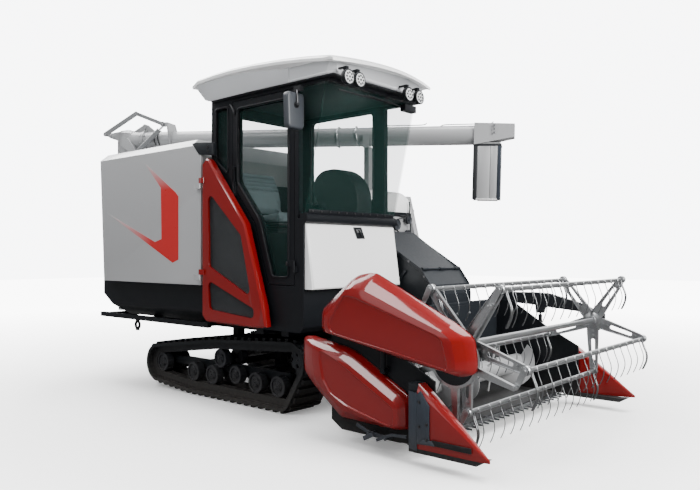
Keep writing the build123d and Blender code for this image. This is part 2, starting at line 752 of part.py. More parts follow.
# Roof
EAVE = 1080
with BuildPart() as cab_roof:
    with BuildSketch(Plane.XY.offset(CAB_TOP - 20)):
        with BuildLine():
            b1 = Line((-510, ROOF_RIGHT), (1105, ROOF_RIGHT))
            b2 = ThreePointArc(b1 @ 1, (ROOF_NOSE, (ROOF_RIGHT + ROOF_LEFT) / 2), (1105, ROOF_LEFT))
            b3 = Line(b2 @ 1, (-510, ROOF_LEFT))
            Line(b3 @ 1, b1 @ 0)
        make_face()
    extrude(amount=ROOF_TOP - CAB_TOP + 40)
    with BuildSketch(side_plane(ROOF_LEFT + 10)):
        Polygon(
            (CAB_REAR, CAB_TOP),
            (EAVE, CAB_TOP),
            (ROOF_NOSE, 2680),
            (1130, 2712),
            (600, 2770),
            (0, ROOF_TOP),
            (-450, 2786),
            (-510, 2727),
            (-440, 2602),
            align=None,
        )
    extrude(amount=ROOF_LEFT - ROOF_RIGHT + 20, mode=Mode.INTERSECT)
save(cab_roof, "cab_roof")

# Work lamps under the roof's front edge
LAMP_R = 55
LAMP_X, LAMP_Z = 1140, 2528
LAMP_Y = (-1000, -880, -290, -150)
with BuildPart() as roof_lamps:
    for y in LAMP_Y:
        with BuildSketch(Plane.YZ.offset(LAMP_X)):
            with Locations((y, LAMP_Z)):
                Circle(LAMP_R)
        extrude(amount=55)
        with BuildSketch(Plane.YZ.offset(LAMP_X + 55)):
            with Locations((y, LAMP_Z)):
                Circle(LAMP_R - 8)
        extrude(amount=-8, mode=Mode.SUBTRACT)
        with BuildSketch(side_plane(y)):
            Polygon(
                (LAMP_X, LAMP_Z - 15),
                (LAMP_X, LAMP_Z + 30),
                (EAVE - 10, CAB_TOP - FIT),
                (EAVE - 60, CAB_TOP - FIT),
                (EAVE - 60, CAB_TOP - 10),
                align=None,
            )
        extrude(amount=12, both=True)
save(roof_lamps, "roof_lamps")

# Right mirror on its arm
MIRROR_X, MIRROR_Y, MIRROR_Z = 745, -1100, 2335
with BuildPart() as mirror:
    with BuildSketch(Plane(origin=(MIRROR_X, MIRROR_Y, MIRROR_Z), x_dir=(0.5, 0.87, 0), z_dir=(0.87, -0.5, 0))):
        RectangleRounded(180, 270, 40)
    extrude(amount=45)
    with BuildSketch(Plane.XY.offset(MIRROR_Z + 60)):
        with Locations((MIRROR_X - 4, MIRROR_Y)):
            Circle(8)
    extrude(amount=150)
    with BuildSketch(Plane.XZ.offset(-CAB_RIGHT)):
        with Locations((MIRROR_X - 4, MIRROR_Z + 202)):
            Circle(8)
    extrude(amount=-(MIRROR_Y - CAB_RIGHT) + 8)
    with BuildSketch(Plane.XZ.offset(-CAB_RIGHT)):
        with Locations((MIRROR_X - 4, MIRROR_Z + 202)):
            Circle(16)
    extrude(amount=6)
save(mirror, "mirror")

# Thresher housing with its rounded front hood, a recess for the feeder, cheeks for its shaft and the rear left cover
COVER_SPLIT = -520
COVER_BOTTOM, COVER_TOP = 760, 1860
COVER_BEVEL = 25
COVER_HINGE_Y = THRESHER_LEFT + COVER_T + 12
COVER_HINGE_Z = (980, 1680)
with BuildPart() as thresher:
    with BuildSketch(side_plane(THRESHER_LEFT)):
        with BuildLine():
            c1 = Line((THRESHER_REAR, DECK_Z), (THRESHER_FRONT - 120, DECK_Z))
            c2 = Line(c1 @ 1, (THRESHER_FRONT, DECK_Z + 240))
            c3 = Line(c2 @ 1, (THRESHER_FRONT, THRESHER_TOP - HOOD_R))
            c4 = JernArc(c3 @ 1, (0, 1), HOOD_R, 90)
            c5 = Line(c4 @ 1, (THRESHER_REAR, THRESHER_TOP))
            Line(c5 @ 1, c1 @ 0)
        make_face()
    extrude(amount=THRESHER_LEFT - THRESHER_RIGHT)
    with BuildSketch(side_plane(FEEDER_LEFT + GAP)):
        with Locations((LIFT_X, LIFT_Z)):
            Circle(FEEDER_R + GAP)
        with Locations((LIFT_X - 30, LIFT_Z - 350)):
            Rectangle(380, 700)
    extrude(amount=FEEDER_LEFT - FEEDER_RIGHT + 2 * GAP, mode=Mode.SUBTRACT)
    for y in (FEEDER_RIGHT - GAP, FEEDER_LEFT + GAP + 40):
        with BuildSketch(side_plane(y)):
            Polygon(
                (THRESHER_FRONT - 1, LIFT_Z - 180),
                (LIFT_X, LIFT_Z - 60),
                (LIFT_X + 60, LIFT_Z),
                (LIFT_X, LIFT_Z + 60),
                (THRESHER_FRONT - 1, LIFT_Z + 180),
                align=None,
            )
            with Locations((LIFT_X, LIFT_Z)):
                Circle(25 + FIT, mode=Mode.SUBTRACT)
        extrude(amount=FEEDER_RIGHT - GAP - THRESHER_RIGHT if y < FEEDER_LEFT else 40)
    with BuildSketch(side_plane(THRESHER_LEFT)):
        with Locations((LIFT_X, LIFT_Z)):
            Circle(25 + FIT)
    extrude(amount=THRESHER_LEFT - THRESHER_RIGHT, mode=Mode.SUBTRACT)
    with BuildPart(mode=Mode.PRIVATE) as rear_cover:
        with BuildSketch(side_plane(THRESHER_LEFT + COVER_T)):
            with Locations(((THRESHER_REAR + 40 + COVER_SPLIT - GAP) / 2, (COVER_BOTTOM + COVER_TOP) / 2)):
                Rectangle(COVER_SPLIT - GAP - THRESHER_REAR - 40, COVER_TOP - COVER_BOTTOM)
        extrude(amount=COVER_T)
        chamfer(rear_cover.faces().sort_by(Axis.Y)[-1].edges(), length=COVER_BEVEL)
    add(rear_cover.part)
    for z in COVER_HINGE_Z:
        with BuildSketch(Plane.XY.offset(z - KNUCKLE - FIT)):
            with Locations((COVER_SPLIT - STRAP / 2 - 5, THRESHER_LEFT + COVER_T + 6)):
                Rectangle(STRAP + 10, 12)
            with Locations((COVER_SPLIT, COVER_HINGE_Y)):
                Circle(HINGE_R)
                Circle(HINGE_R / 2 + FIT, mode=Mode.SUBTRACT)
        extrude(amount=KNUCKLE)
save(thresher, "thresher")

# Front left cover, a door hinged on the rear one
with BuildPart() as left_cover:
    with BuildSketch(side_plane(THRESHER_LEFT + COVER_T)):
        Polygon(
            (COVER_SPLIT + GAP, COVER_BOTTOM),
            (400, COVER_BOTTOM),
            (400, 1420),
            (290, COVER_TOP),
            (COVER_SPLIT + GAP, COVER_TOP),
            align=None,
        )
    extrude(amount=COVER_T - FIT)
    chamfer(left_cover.faces().sort_by(Axis.Y)[-1].edges(), length=COVER_BEVEL)
    for z in COVER_HINGE_Z:
        with BuildSketch(Plane.XY.offset(z)):
            with Locations((COVER_SPLIT + STRAP / 2 + 5, THRESHER_LEFT + COVER_T + 6)):
                Rectangle(STRAP + 10, 12)
            with Locations((COVER_SPLIT, COVER_HINGE_Y)):
                Circle(HINGE_R)
        extrude(amount=KNUCKLE)
        with BuildSketch(Plane.XY.offset(z - KNUCKLE)):
            with Locations((COVER_SPLIT, COVER_HINGE_Y)):
                Circle(HINGE_R / 2)
        extrude(amount=KNUCKLE)
save(left_cover, "left_cover")

# Straw hood at the rear, open below
with BuildPart() as straw_hood:
    with BuildSketch(side_plane(THRESHER_LEFT - 20)):
        Polygon(
            (THRESHER_REAR, 900),
            (THRESHER_REAR, 1750),
            (-2120, 1750),
            (STRAW_REAR, 1350),
            (STRAW_REAR, 900),
            align=None,
        )
    extrude(amount=THRESHER_LEFT - THRESHER_RIGHT - 40)
    with BuildSketch(side_plane(THRESHER_LEFT - 20 - SHEET)):
        Polygon(
            (THRESHER_REAR - SHEET, 890),
            (THRESHER_REAR - SHEET, 1750 - SHEET),
            (-2118, 1750 - SHEET),
            (STRAW_REAR + SHEET, 1348),
            (STRAW_REAR + SHEET, 890),
            align=None,
        )
    extrude(amount=THRESHER_LEFT - THRESHER_RIGHT - 40 - 2 * SHEET, mode=Mode.SUBTRACT)
save(straw_hood, "straw_hood")

# Feeder: a hollow housing that swings on its upper shaft and carries the header
LIFT_SHAFT_R = 25
FEEDER_WALL = 10
FEEDER_OUTLINE = (
    (1000, 1157),
    (1090, 1033),
    (1105, 950),
    (1105, 785),
    (WALL_X - PLATE, 785),
    (WALL_X - PLATE, 150),
    (1100, 130),
    (930, 330),
)
MOUTH = (150, 710, 240, 640)  # y0, y1, z0, z1 of the opening from header to feeder
FEEDER_PIN_X, FEEDER_PIN_Z = 784, 466  # the header cylinder's upper pin


def touch_point(centre, radius, x, z, side):
    """Where the tangent from a point touches a circle, on its upper (1) or lower (-1) side."""
    reach = math.hypot(x - centre[0], z - centre[1])
    angle = math.atan2(z - centre[1], x - centre[0]) + side * math.acos(radius / reach)
    return centre[0] + radius * math.cos(angle), centre[1] + radius * math.sin(angle)


with BuildPart() as feeder:
    upper = touch_point((LIFT_X, LIFT_Z), FEEDER_R, *FEEDER_OUTLINE[0], 1)
    lower = touch_point((LIFT_X, LIFT_Z), FEEDER_R, *FEEDER_OUTLINE[-1], -1)
    crown = turned(LIFT_X + FEEDER_R, LIFT_Z, 135, (LIFT_X, LIFT_Z))
    with BuildSketch(side_plane(FEEDER_LEFT)):
        with BuildLine():
            Polyline(upper, *FEEDER_OUTLINE, lower)
            ThreePointArc(lower, crown, upper)
        make_face()
    extrude(amount=FEEDER_LEFT - FEEDER_RIGHT)
    with BuildSketch(side_plane(FEEDER_LEFT - FEEDER_WALL)):
        with BuildLine():
            Polyline(upper, *FEEDER_OUTLINE, lower)
            ThreePointArc(lower, crown, upper)
        make_face()
        offset(amount=-FEEDER_WALL)
    extrude(amount=FEEDER_LEFT - FEEDER_RIGHT - 2 * FEEDER_WALL, mode=Mode.SUBTRACT)
    with BuildSketch(Plane.YZ.offset(WALL_X - PLATE - 2 * FEEDER_WALL)):
        with Locations(((MOUTH[0] + MOUTH[1]) / 2, (MOUTH[2] + MOUTH[3]) / 2)):
            Rectangle(MOUTH[1] - MOUTH[0], MOUTH[3] - MOUTH[2])
    extrude(amount=3 * FEEDER_WALL, mode=Mode.SUBTRACT)
    with BuildSketch(side_plane(FEEDER_LEFT + GAP + 40)):
        with Locations((LIFT_X, LIFT_Z)):
            Circle(LIFT_SHAFT_R)
    extrude(amount=FEEDER_LEFT + GAP + 40 - THRESHER_RIGHT - 4)
    for y in (LIFT_Y + EYE_T / 2 + 1 + CHEEK_T, LIFT_Y - EYE_T / 2 - 1):
        with BuildSketch(side_plane(y)):
            Polygon((856, 449), (792, 539), (760, 481), (770, 446), (797, 441), align=None)
            with Locations((FEEDER_PIN_X, FEEDER_PIN_Z)):
                Circle(EYE_R)
        extrude(amount=CHEEK_T)
    with BuildSketch(side_plane(LIFT_Y)):
        with Locations((FEEDER_PIN_X, FEEDER_PIN_Z)):
            Circle(PIN_R)
    extrude(amount=EYE_T / 2 + 1 + CHEEK_T, both=True)
save(feeder, "feeder")

# Header frame: trough with its rear wall, beams and skids
WALL_TOP = 850
FLOOR_Z = AUGER_Z - (AUGER_X - WALL_X)
HEADER_WALL = (
    (1105, 150),
    (1105, 870),
    (1340, 870),
    (1670, 660),
    (1960, 510),
    (1960, 92),
    (1200, 92),
)
EAR_R = 45
STUB_R = 20
AUGER_SHAFT_R = 25
SKID_Y = (135 - HEADER_HALF, -100, HEADER_HALF - 245)
REEL_PIN_R = 8
REEL_EYE_R = 18
REEL_EYE_T = 20
REEL_LIFT_Y = ARM_Y + ARM_T / 2
REEL_LIFT_X, REEL_LIFT_LOW, REEL_LIFT_HIGH = 1590, 540, 795
with BuildPart() as header_frame:
    with BuildSketch(side_plane(0)):
        with BuildLine():
            t1 = Line((WALL_X, WALL_TOP), (WALL_X, AUGER_Z))
            t2 = CenterArc((AUGER_X, AUGER_Z), AUGER_X - WALL_X, 180, 90)
            t3 = Polyline(t2 @ 1, (KNIFE_X - 10, FLOOR_Z), (KNIFE_X - 10, FLOOR_Z - PLATE), (AUGER_X, FLOOR_Z - PLATE))
            t4 = CenterArc((AUGER_X, AUGER_Z), AUGER_X - WALL_X + PLATE, 270, -90)
            t5 = Polyline(t4 @ 1, (WALL_X - PLATE, WALL_TOP), t1 @ 0)
        make_face()
    extrude(amount=HEADER_HALF, both=True)
    with BuildSketch(Plane.YZ.offset(WALL_X - 2 * PLATE)):
        with Locations(((MOUTH[0] + MOUTH[1]) / 2, (MOUTH[2] + MOUTH[3]) / 2)):
            Rectangle(MOUTH[1] - MOUTH[0], MOUTH[3] - MOUTH[2])
    extrude(amount=8 * PLATE, mode=Mode.SUBTRACT)
    with BuildSketch(side_plane(0)):
        with Locations((WALL_X - PLATE - BEAM_SIZE / 2, BEAM_Z + BEAM_SIZE / 2)):
            Rectangle(BEAM_SIZE, BEAM_SIZE)
    extrude(amount=HEADER_HALF, both=True)
    for y, length in ((FEEDER_RIGHT, HEADER_HALF + FEEDER_RIGHT), (HEADER_HALF, HEADER_HALF - FEEDER_LEFT)):
        with BuildSketch(side_plane(y)):
            with Locations((WALL_X - PLATE - BEAM_SIZE / 2, MOUTH[2])):
                Rectangle(BEAM_SIZE, BEAM_SIZE)
            with Locations((WALL_X, MOUTH[2])):
                Rectangle(2 * PLATE, BEAM_SIZE)
        extrude(amount=length)
    for y in SKID_Y:
        with BuildSketch(side_plane(y)):
            Polygon(
                (1390, FLOOR_Z - 2),
                (1300, 62),
                (1330, 50),
                (1620, 50),
                (1690, FLOOR_Z - 2),
                align=None,
            )
        extrude(amount=40, both=True)
save(header_frame, "header_frame")

# Side walls of the header with the ears for the reel arms and the pins of the reel's cylinders
with BuildPart() as header_sides:
    for side, name in SIDES:
        with BuildSketch(side_plane(side * (HEADER_HALF + SIDE_T / 2))):
            Polygon(*HEADER_WALL, align=None)
            with Locations((ARM_X, ARM_Z)):
                Circle(EAR_R)
                Circle(STUB_R + FIT, mode=Mode.SUBTRACT)
            with Locations((AUGER_X, AUGER_Z)):
                Circle(AUGER_SHAFT_R + FIT, mode=Mode.SUBTRACT)
        extrude(amount=SIDE_T / 2, both=True)
        with BuildSketch(side_plane(side * WALL_OUT)):
            with Locations((REEL_LIFT_X, REEL_LIFT_LOW)):
                Circle(REEL_EYE_R + 4)
        extrude(amount=-side * (REEL_LIFT_Y - REEL_EYE_T / 2 - 1 - WALL_OUT))
        with BuildSketch(side_plane(side * WALL_OUT)):
            with Locations((REEL_LIFT_X, REEL_LIFT_LOW)):
                Circle(REEL_PIN_R)
        extrude(amount=-side * (REEL_LIFT_Y + REEL_EYE_T / 2 + 2 - WALL_OUT))
save(header_sides, "header_sides")

# Cutter bar: guards with knife sections
GUARD_PITCH = 76.2
GUARDS = int((2 * HEADER_HALF - 10) / GUARD_PITCH)
GUARD_T = 12
with BuildPart() as cutter_bar:
    with BuildSketch(Plane.XY.offset(FLOOR_Z - PLATE - GUARD_T)):
        with Locations((KNIFE_X - 10, 0)):
            Rectangle(60, 2 * HEADER_HALF - 4)
        with GridLocations(GUARD_PITCH, GUARD_PITCH, 1, GUARDS):
            with Locations((KNIFE_X + 10, 0)):
                Polygon((0, -11), (78, -3), (78, 3), (0, 11), align=None)
    extrude(amount=GUARD_T)
    with BuildSketch(Plane.XY.offset(FLOOR_Z - PLATE)):
        with Locations((KNIFE_X + 8, 0)):
            Rectangle(24, 2 * HEADER_HALF - 40)
        with GridLocations(GUARD_PITCH, GUARD_PITCH, 1, GUARDS - 1):
            with Locations((KNIFE_X + 15, 0)):
                Polygon((0, -34), (48, -6), (48, 6), (0, 34), align=None)
    extrude(amount=3)
save(cutter_bar, "cutter_bar")

# Cross auger with its helical flights
FLIGHT_T = 6
FLIGHT_END = HEADER_HALF - 25
FLIGHTS = (
    (-FLIGHT_END, FLIGHT_END + 140, False),  # y of the right end, length, left-handed
    (740, FLIGHT_END - 740, True),
)
FINGER_ROWS = 3
with BuildPart() as header_auger:
    with BuildSketch(side_plane(0)):
        with Locations((AUGER_X, AUGER_Z)):
            Circle(AUGER_TUBE_R)
    extrude(amount=HEADER_HALF - 12, both=True)
    with BuildSketch(side_plane(0)):
        with Locations((AUGER_X, AUGER_Z)):
            Circle(AUGER_SHAFT_R)
    extrude(amount=WALL_OUT - 1, both=True)
    for y, length, left in FLIGHTS:
        with BuildLine() as path:
            Helix(FLIGHT_PITCH, length, FLIGHT_R, (AUGER_X, y, AUGER_Z), (0, 1, 0), lefthand=left)
        with BuildSketch(Plane(path.line @ 0, x_dir=(0, 0, -1), z_dir=path.line % 0)):
            with Locations(((FLIGHT_R - AUGER_TUBE_R + 5) / 2, 0)):
                Rectangle(FLIGHT_R - AUGER_TUBE_R + 5, FLIGHT_T)
        sweep(path=path.line, is_frenet=True)
    for i in range(FINGER_ROWS):
        for angle in (i * 40, i * 40 + 180):
            spin = Plane(origin=(AUGER_X, MOUTH[0] + 110 + i * 170, AUGER_Z), z_dir=(math.cos(math.radians(angle)), 0, math.sin(math.radians(angle))))
            with BuildSketch(spin):
                Circle(9)
            extrude(amount=FLIGHT_R - 5)
save(header_auger, "header_auger")

# Divider posts with the rails of the noses, one pair on each side
POST_X0, POST_X1 = 1822, 1900
POST_TOP = 500
RAIL_Z0, RAIL_Z1 = 76, 108
with BuildPart() as divider_posts:
    for side, name in SIDES:
        with BuildSketch(side_plane(side * (WALL_OUT + 40))):
            Polygon(
                (POST_X0, RAIL_Z0),
                (POST_X0, POST_TOP),
                (POST_X1, POST_TOP),
                (POST_X1, RAIL_Z1),
                (2300, RAIL_Z1),
                (2360, 112),
                (2300, RAIL_Z0),
                align=None,
            )
        extrude(amount=40, both=True)
save(divider_posts, "divider_posts")

# Divider noses
NOSE_X = POST_X1
with BuildPart() as dividers:
    for side, name in SIDES:
        with BuildSketch(Plane.YZ.offset(NOSE_X)):
            with Locations((side * (WALL_OUT + 56), 320)):
                Rectangle(104, 380)
        with BuildSketch(Plane.YZ.offset(TIP_X)):
            with Locations((side * (WALL_OUT + 92), TIP_Z)):
                Rectangle(10, 12)
        loft()
        with BuildSketch(side_plane(side * (WALL_OUT + 40))):
            Polygon(
                (NOSE_X - 10, RAIL_Z0 - 10),
                (NOSE_X - 10, RAIL_Z1),
                (TIP_X - 40, RAIL_Z1),
                (TIP_X - 40, RAIL_Z0 - 10),
                align=None,
            )
        extrude(amount=60, both=True, mode=Mode.SUBTRACT)
save(dividers, "dividers")

# Lower shield on the header's right side: a shell open towards the machine
LOWER_SHIELD = (
    (884, 694),
    (1270, 631),
    (1340, 600),
    (1750, 381),
    (1808, 202),
    (1730, 177),
    (1210, 174),
    (944, 384),
    (850, 467),
    (864, 590),
)
SHIELD_BEVEL = 24
with BuildPart() as lower_shield:
    with BuildSketch(side_plane(-WALL_OUT)):
        Polygon(*LOWER_SHIELD, align=None)
    extrude(amount=SHIELD_OUT - WALL_OUT)
    chamfer(lower_shield.faces().sort_by(Axis.Y)[0].edges(), length=SHIELD_BEVEL)
    with BuildSketch(side_plane(-WALL_OUT)):
        Polygon(*LOWER_SHIELD, align=None)
        offset(amount=-SHEET)
    extrude(amount=SHIELD_OUT - WALL_OUT - SHIELD_BEVEL - SHEET, mode=Mode.SUBTRACT)
save(lower_shield, "lower_shield")

# Upper shield on the right reel arm: a shell open towards the machine, on two stand-offs
UPPER_SHIELD = (
    (1035, 905),
    (1030, 784),
    (1050, 753),
    (1210, 734),
    (1740, 626),
    (2162, 563),
    (2261, 594),
    (2270, 665),
    (2252, 800),
    (2207, 860),
    (2143, 871),
    (1525, 1165),
    (1480, 1171),
    (1380, 1153),
    (1330, 1134),
)
STANDOFFS = ((1300, 905), (1800, 880))
SHIELD_IN = WALL_OUT + 5
with BuildPart() as upper_shield:
    with BuildSketch(side_plane(-SHIELD_IN)):
        Polygon(*UPPER_SHIELD, align=None)
    extrude(amount=HEADER_OUT - SHIELD_IN)
    chamfer(upper_shield.faces().sort_by(Axis.Y)[0].edges(), length=SHIELD_BEVEL)
    with BuildSketch(side_plane(-SHIELD_IN)):
        Polygon(*UPPER_SHIELD, align=None)
        offset(amount=-SHEET)
    extrude(amount=HEADER_OUT - SHIELD_IN - SHIELD_BEVEL - SHEET, mode=Mode.SUBTRACT)
    with BuildSketch(side_plane(-SHIELD_IN)):
        Polygon((1300, 500), (1300, 760), (2000, 640), (2000, 500), align=None)
    extrude(amount=HEADER_OUT - SHIELD_IN - SHIELD_BEVEL - SHEET, mode=Mode.SUBTRACT)
    with BuildSketch(side_plane(-ARM_Y - ARM_T)):
        with Locations(*STANDOFFS):
            Circle(20)
    extrude(amount=HEADER_OUT - SHEET - ARM_Y - ARM_T)
save(upper_shield, "upper_shield")

# Reel arms with stub shafts; the right one carries the eccentric disc
ARM_OUTLINE = (
    (1125, 860),
    (1125, 940),
    (1540, 950),
    (1670, 945),
    (1950, 875),
    (2165, 790),
    (2165, 700),
    (1950, 800),
    (1640, 826),
    (1622, 768),
    (1558, 768),
    (1550, 836),
    (1500, 840),
)
DISC_BOSS_R = 35
with BuildPart() as reel_arms:
    for side, name in SIDES:
        with BuildSketch(side_plane(side * (ARM_Y + ARM_T / 2))):
            Polygon(*ARM_OUTLINE, align=None)
            with Locations((ARM_X, ARM_Z), (REEL_X, REEL_Z)):
                Circle(EAR_R - 3)
            with Locations((REEL_X, REEL_Z)):
                Circle(REEL_TUBE_R + FIT, mode=Mode.SUBTRACT)
        extrude(amount=ARM_T / 2, both=True)
        with BuildSketch(side_plane(side * REEL_LIFT_Y)):
            with Locations((REEL_LIFT_X, REEL_LIFT_HIGH - 15)):
                Rectangle(70, 85)
        extrude(amount=REEL_EYE_T / 2 + 1, both=True, mode=Mode.SUBTRACT)
        with BuildSketch(side_plane(side * REEL_LIFT_Y)):
            with Locations((REEL_LIFT_X, REEL_LIFT_HIGH)):
                Circle(REEL_PIN_R)
        extrude(amount=REEL_EYE_T / 2 + 4, both=True)
        with BuildSketch(side_plane(side * (ARM_Y + 1))):
            with Locations((ARM_X, ARM_Z)):
                Circle(STUB_R)
        extrude(amount=side * (ARM_Y + 1 - HEADER_HALF + 10))
    with BuildSketch(side_plane(-RING_Y)):
        with Locations((RING_X, RING_Z)):
            Circle(RING_IN - FIT)
        with Locations((REEL_X, REEL_Z)):
            Circle(REEL_TUBE_R + FIT, mode=Mode.SUBTRACT)
    extrude(amount=RING_T / 2, both=True)
    with BuildSketch(side_plane(-RING_Y - RING_T / 2)):
        with Locations((REEL_X, REEL_Z)):
            Circle(DISC_BOSS_R)
            Circle(REEL_TUBE_R + FIT, mode=Mode.SUBTRACT)
    extrude(amount=ARM_Y - RING_Y - RING_T / 2)
save(reel_arms, "reel_arms")

# Reel: centre tube with a five-armed star at each end
STAR_BASE, STAR_TIP = 104, 60
STAR_HUB_R = 62
BAR_ANGLES = [REEL_PHASE + i * 360 / REEL_BARS for i in range(REEL_BARS)]
with BuildPart() as reel:
    with BuildSketch(side_plane(0)):
        with Locations((REEL_X, REEL_Z)):
            Circle(REEL_TUBE_R)
    extrude(amount=ARM_Y + ARM_T - 10, both=True)
    for side, name in SIDES:
        with BuildSketch(side_plane(side * STAR_Y)):
            with Locations((REEL_X, REEL_Z)):
                Circle(STAR_HUB_R)
            for angle in BAR_ANGLES:
                with Locations(Location((REEL_X, REEL_Z, 0), (0, 0, angle))):
                    Polygon(
                        (0, -STAR_BASE / 2),
                        (0, STAR_BASE / 2),
                        (REEL_R, STAR_TIP / 2),
                        (REEL_R, -STAR_TIP / 2),
                        align=None,
                    )
                with Locations(turned(REEL_X + REEL_R, REEL_Z, angle, (REEL_X, REEL_Z))):
                    Circle(STAR_TIP / 2)
            for angle in BAR_ANGLES:
                with Locations(turned(REEL_X + REEL_R, REEL_Z, angle, (REEL_X, REEL_Z))):
                    Circle(BAR_R + FIT, mode=Mode.SUBTRACT)
                with Locations(Location((*turned(REEL_X + 250, REEL_Z, angle, (REEL_X, REEL_Z)), 0), (0, 0, angle))):
                    SlotOverall(170, 34, mode=Mode.SUBTRACT)
        extrude(amount=STAR_T / 2, both=True)
save(reel, "reel")

# Tine bars: each with its tines and the crank that keeps them upright
CRANK_T = 8
CRANK_PIN_R = 6
TINE_W = 7
for i, angle in enumerate(BAR_ANGLES, start=1):
    bar_x, bar_z = turned(REEL_X + REEL_R, REEL_Z, angle, (REEL_X, REEL_Z))
    crank_x, crank_z = bar_x + RING_X - REEL_X, bar_z + RING_Z - REEL_Z
    with BuildPart() as tine_bar:
        with BuildSketch(side_plane(STAR_Y + STAR_T / 2 + 6)):
            with Locations((bar_x, bar_z)):
                Circle(BAR_R)
        extrude(amount=STAR_Y + STAR_T / 2 + 6 + CRANK_Y)
        with BuildSketch(side_plane(-CRANK_Y)):
            with Locations(
                Location(
                    ((bar_x + crank_x) / 2, (bar_z + crank_z) / 2, 0),
                    (0, 0, math.degrees(math.atan2(bar_z - crank_z, bar_x - crank_x))),
                )
            ):
                SlotCenterToCenter(math.hypot(bar_x - crank_x, bar_z - crank_z), 34)
        extrude(amount=CRANK_T / 2, both=True)
        with BuildSketch(side_plane(-CRANK_Y)):
            with Locations((crank_x, crank_z)):
                Circle(CRANK_PIN_R)
        extrude(amount=RING_Y + RING_T / 2 + 2 - CRANK_Y)
        with BuildSketch(side_plane(0)) as tine:
            with BuildLine():
                n1 = ThreePointArc((bar_x + 13, bar_z - 4), (bar_x + 48, bar_z - 115), (bar_x + 8, bar_z - TINE_DROP))
                n2 = ThreePointArc(
                    (bar_x + 1, bar_z - TINE_DROP),
                    (bar_x + 41, bar_z - 115),
                    (bar_x + 5, bar_z - 4),
                )
                Line(n1 @ 1, n2 @ 0)
                Line(n2 @ 1, n1 @ 0)
            make_face()
        with Locations(*[(0, (k - (TINES - 1) / 2) * TINE_PITCH, 0) for k in range(TINES)]):
            add(extrude(tine.sketch, amount=TINE_W / 2, both=True, mode=Mode.PRIVATE))
    save(tine_bar, f"tine_bar_{i}")

# Eccentric star whose eyes hold the crank pins
with BuildPart() as reel_ring:
    with BuildSketch(side_plane(-RING_Y)):
        with Locations((RING_X, RING_Z)):
            Circle(RING_OUT)
        for angle in BAR_ANGLES:
            with Locations(Location((RING_X, RING_Z, 0), (0, 0, angle))):
                Polygon(
                    (RING_IN, -24),
                    (RING_IN, 24),
                    (REEL_R, 14),
                    (REEL_R, -14),
                    align=None,
                )
            with Locations(turned(RING_X + REEL_R, RING_Z, angle, (RING_X, RING_Z))):
                Circle(15)
        with Locations((RING_X, RING_Z)):
            Circle(RING_IN, mode=Mode.SUBTRACT)
        for angle in BAR_ANGLES:
            with Locations(turned(RING_X + REEL_R, RING_Z, angle, (RING_X, RING_Z))):
                Circle(CRANK_PIN_R + FIT, mode=Mode.SUBTRACT)
    extrude(amount=RING_T / 2, both=True)
save(reel_ring, "reel_ring")


# Hydraulic cylinders
def cylinder(frame, sizes, lengths, labels):
    """Barrel hinged at the frame's origin, pointing along its x, and its rod, whose eye has play on its pin."""
    eye_r, eye_t, pin_r, barrel_r, rod_r, play = sizes
    barrel_end, tail, reach = lengths
    across = Plane(origin=frame.origin, x_dir=frame.y_dir, z_dir=frame.x_dir)
    start = eye_r + GAP
    with BuildPart() as barrel:
        with BuildSketch(frame):
            Circle(eye_r)
            with Locations((start / 2, 0)):
                Rectangle(start, 1.4 * eye_r)
            Circle(pin_r + FIT, mode=Mode.SUBTRACT)
        extrude(amount=eye_t / 2, both=True)
        with BuildSketch(across.offset(start)):
            Circle(barrel_r)
        extrude(amount=barrel_end - start)
        with BuildSketch(across.offset(barrel_end)):
            Circle(rod_r + FIT)
        extrude(amount=-(barrel_end - tail + 8), mode=Mode.SUBTRACT)
    save(barrel, labels[0])
    with BuildPart() as rod:
        with BuildSketch(frame):
            with Locations((reach, 0)):
                Circle(max(eye_r, pin_r + play + 5))
                Circle(pin_r + play, mode=Mode.SUBTRACT)
        extrude(amount=eye_t / 2, both=True)
        with BuildSketch(across.offset(tail)):
            Circle(rod_r)
        extrude(amount=reach - tail - pin_r - play - 2)
    save(rod, labels[1])


def between(a, b, y):
    """Frame at a, with x towards b, and z to the machine's right."""
    return Plane(origin=(a[0], y, a[1]), x_dir=(b[0] - a[0], 0, b[1] - a[1]), z_dir=(0, -1, 0))


HEADER_LOW, HEADER_HIGH = (LIFT_PIN_X, LIFT_PIN_Z), (FEEDER_PIN_X, FEEDER_PIN_Z)
cylinder(
    between(HEADER_LOW, HEADER_HIGH, LIFT_Y),
    (EYE_R, EYE_T, PIN_R, 34, 20, 6.3),
    (495, 120, math.dist(HEADER_LOW, HEADER_HIGH)),
    ("header_barrel", "header_rod"),
)
for side, name in SIDES:
    cylinder(
        between((REEL_LIFT_X, REEL_LIFT_LOW), (REEL_LIFT_X, REEL_LIFT_HIGH), side * REEL_LIFT_Y),
        (REEL_EYE_R, REEL_EYE_T, REEL_PIN_R, 17, 9, 6.2),
        (214, 36, REEL_LIFT_HIGH - REEL_LIFT_LOW),
        (f"reel_barrel_{name}", f"reel_rod_{name}"),
    )

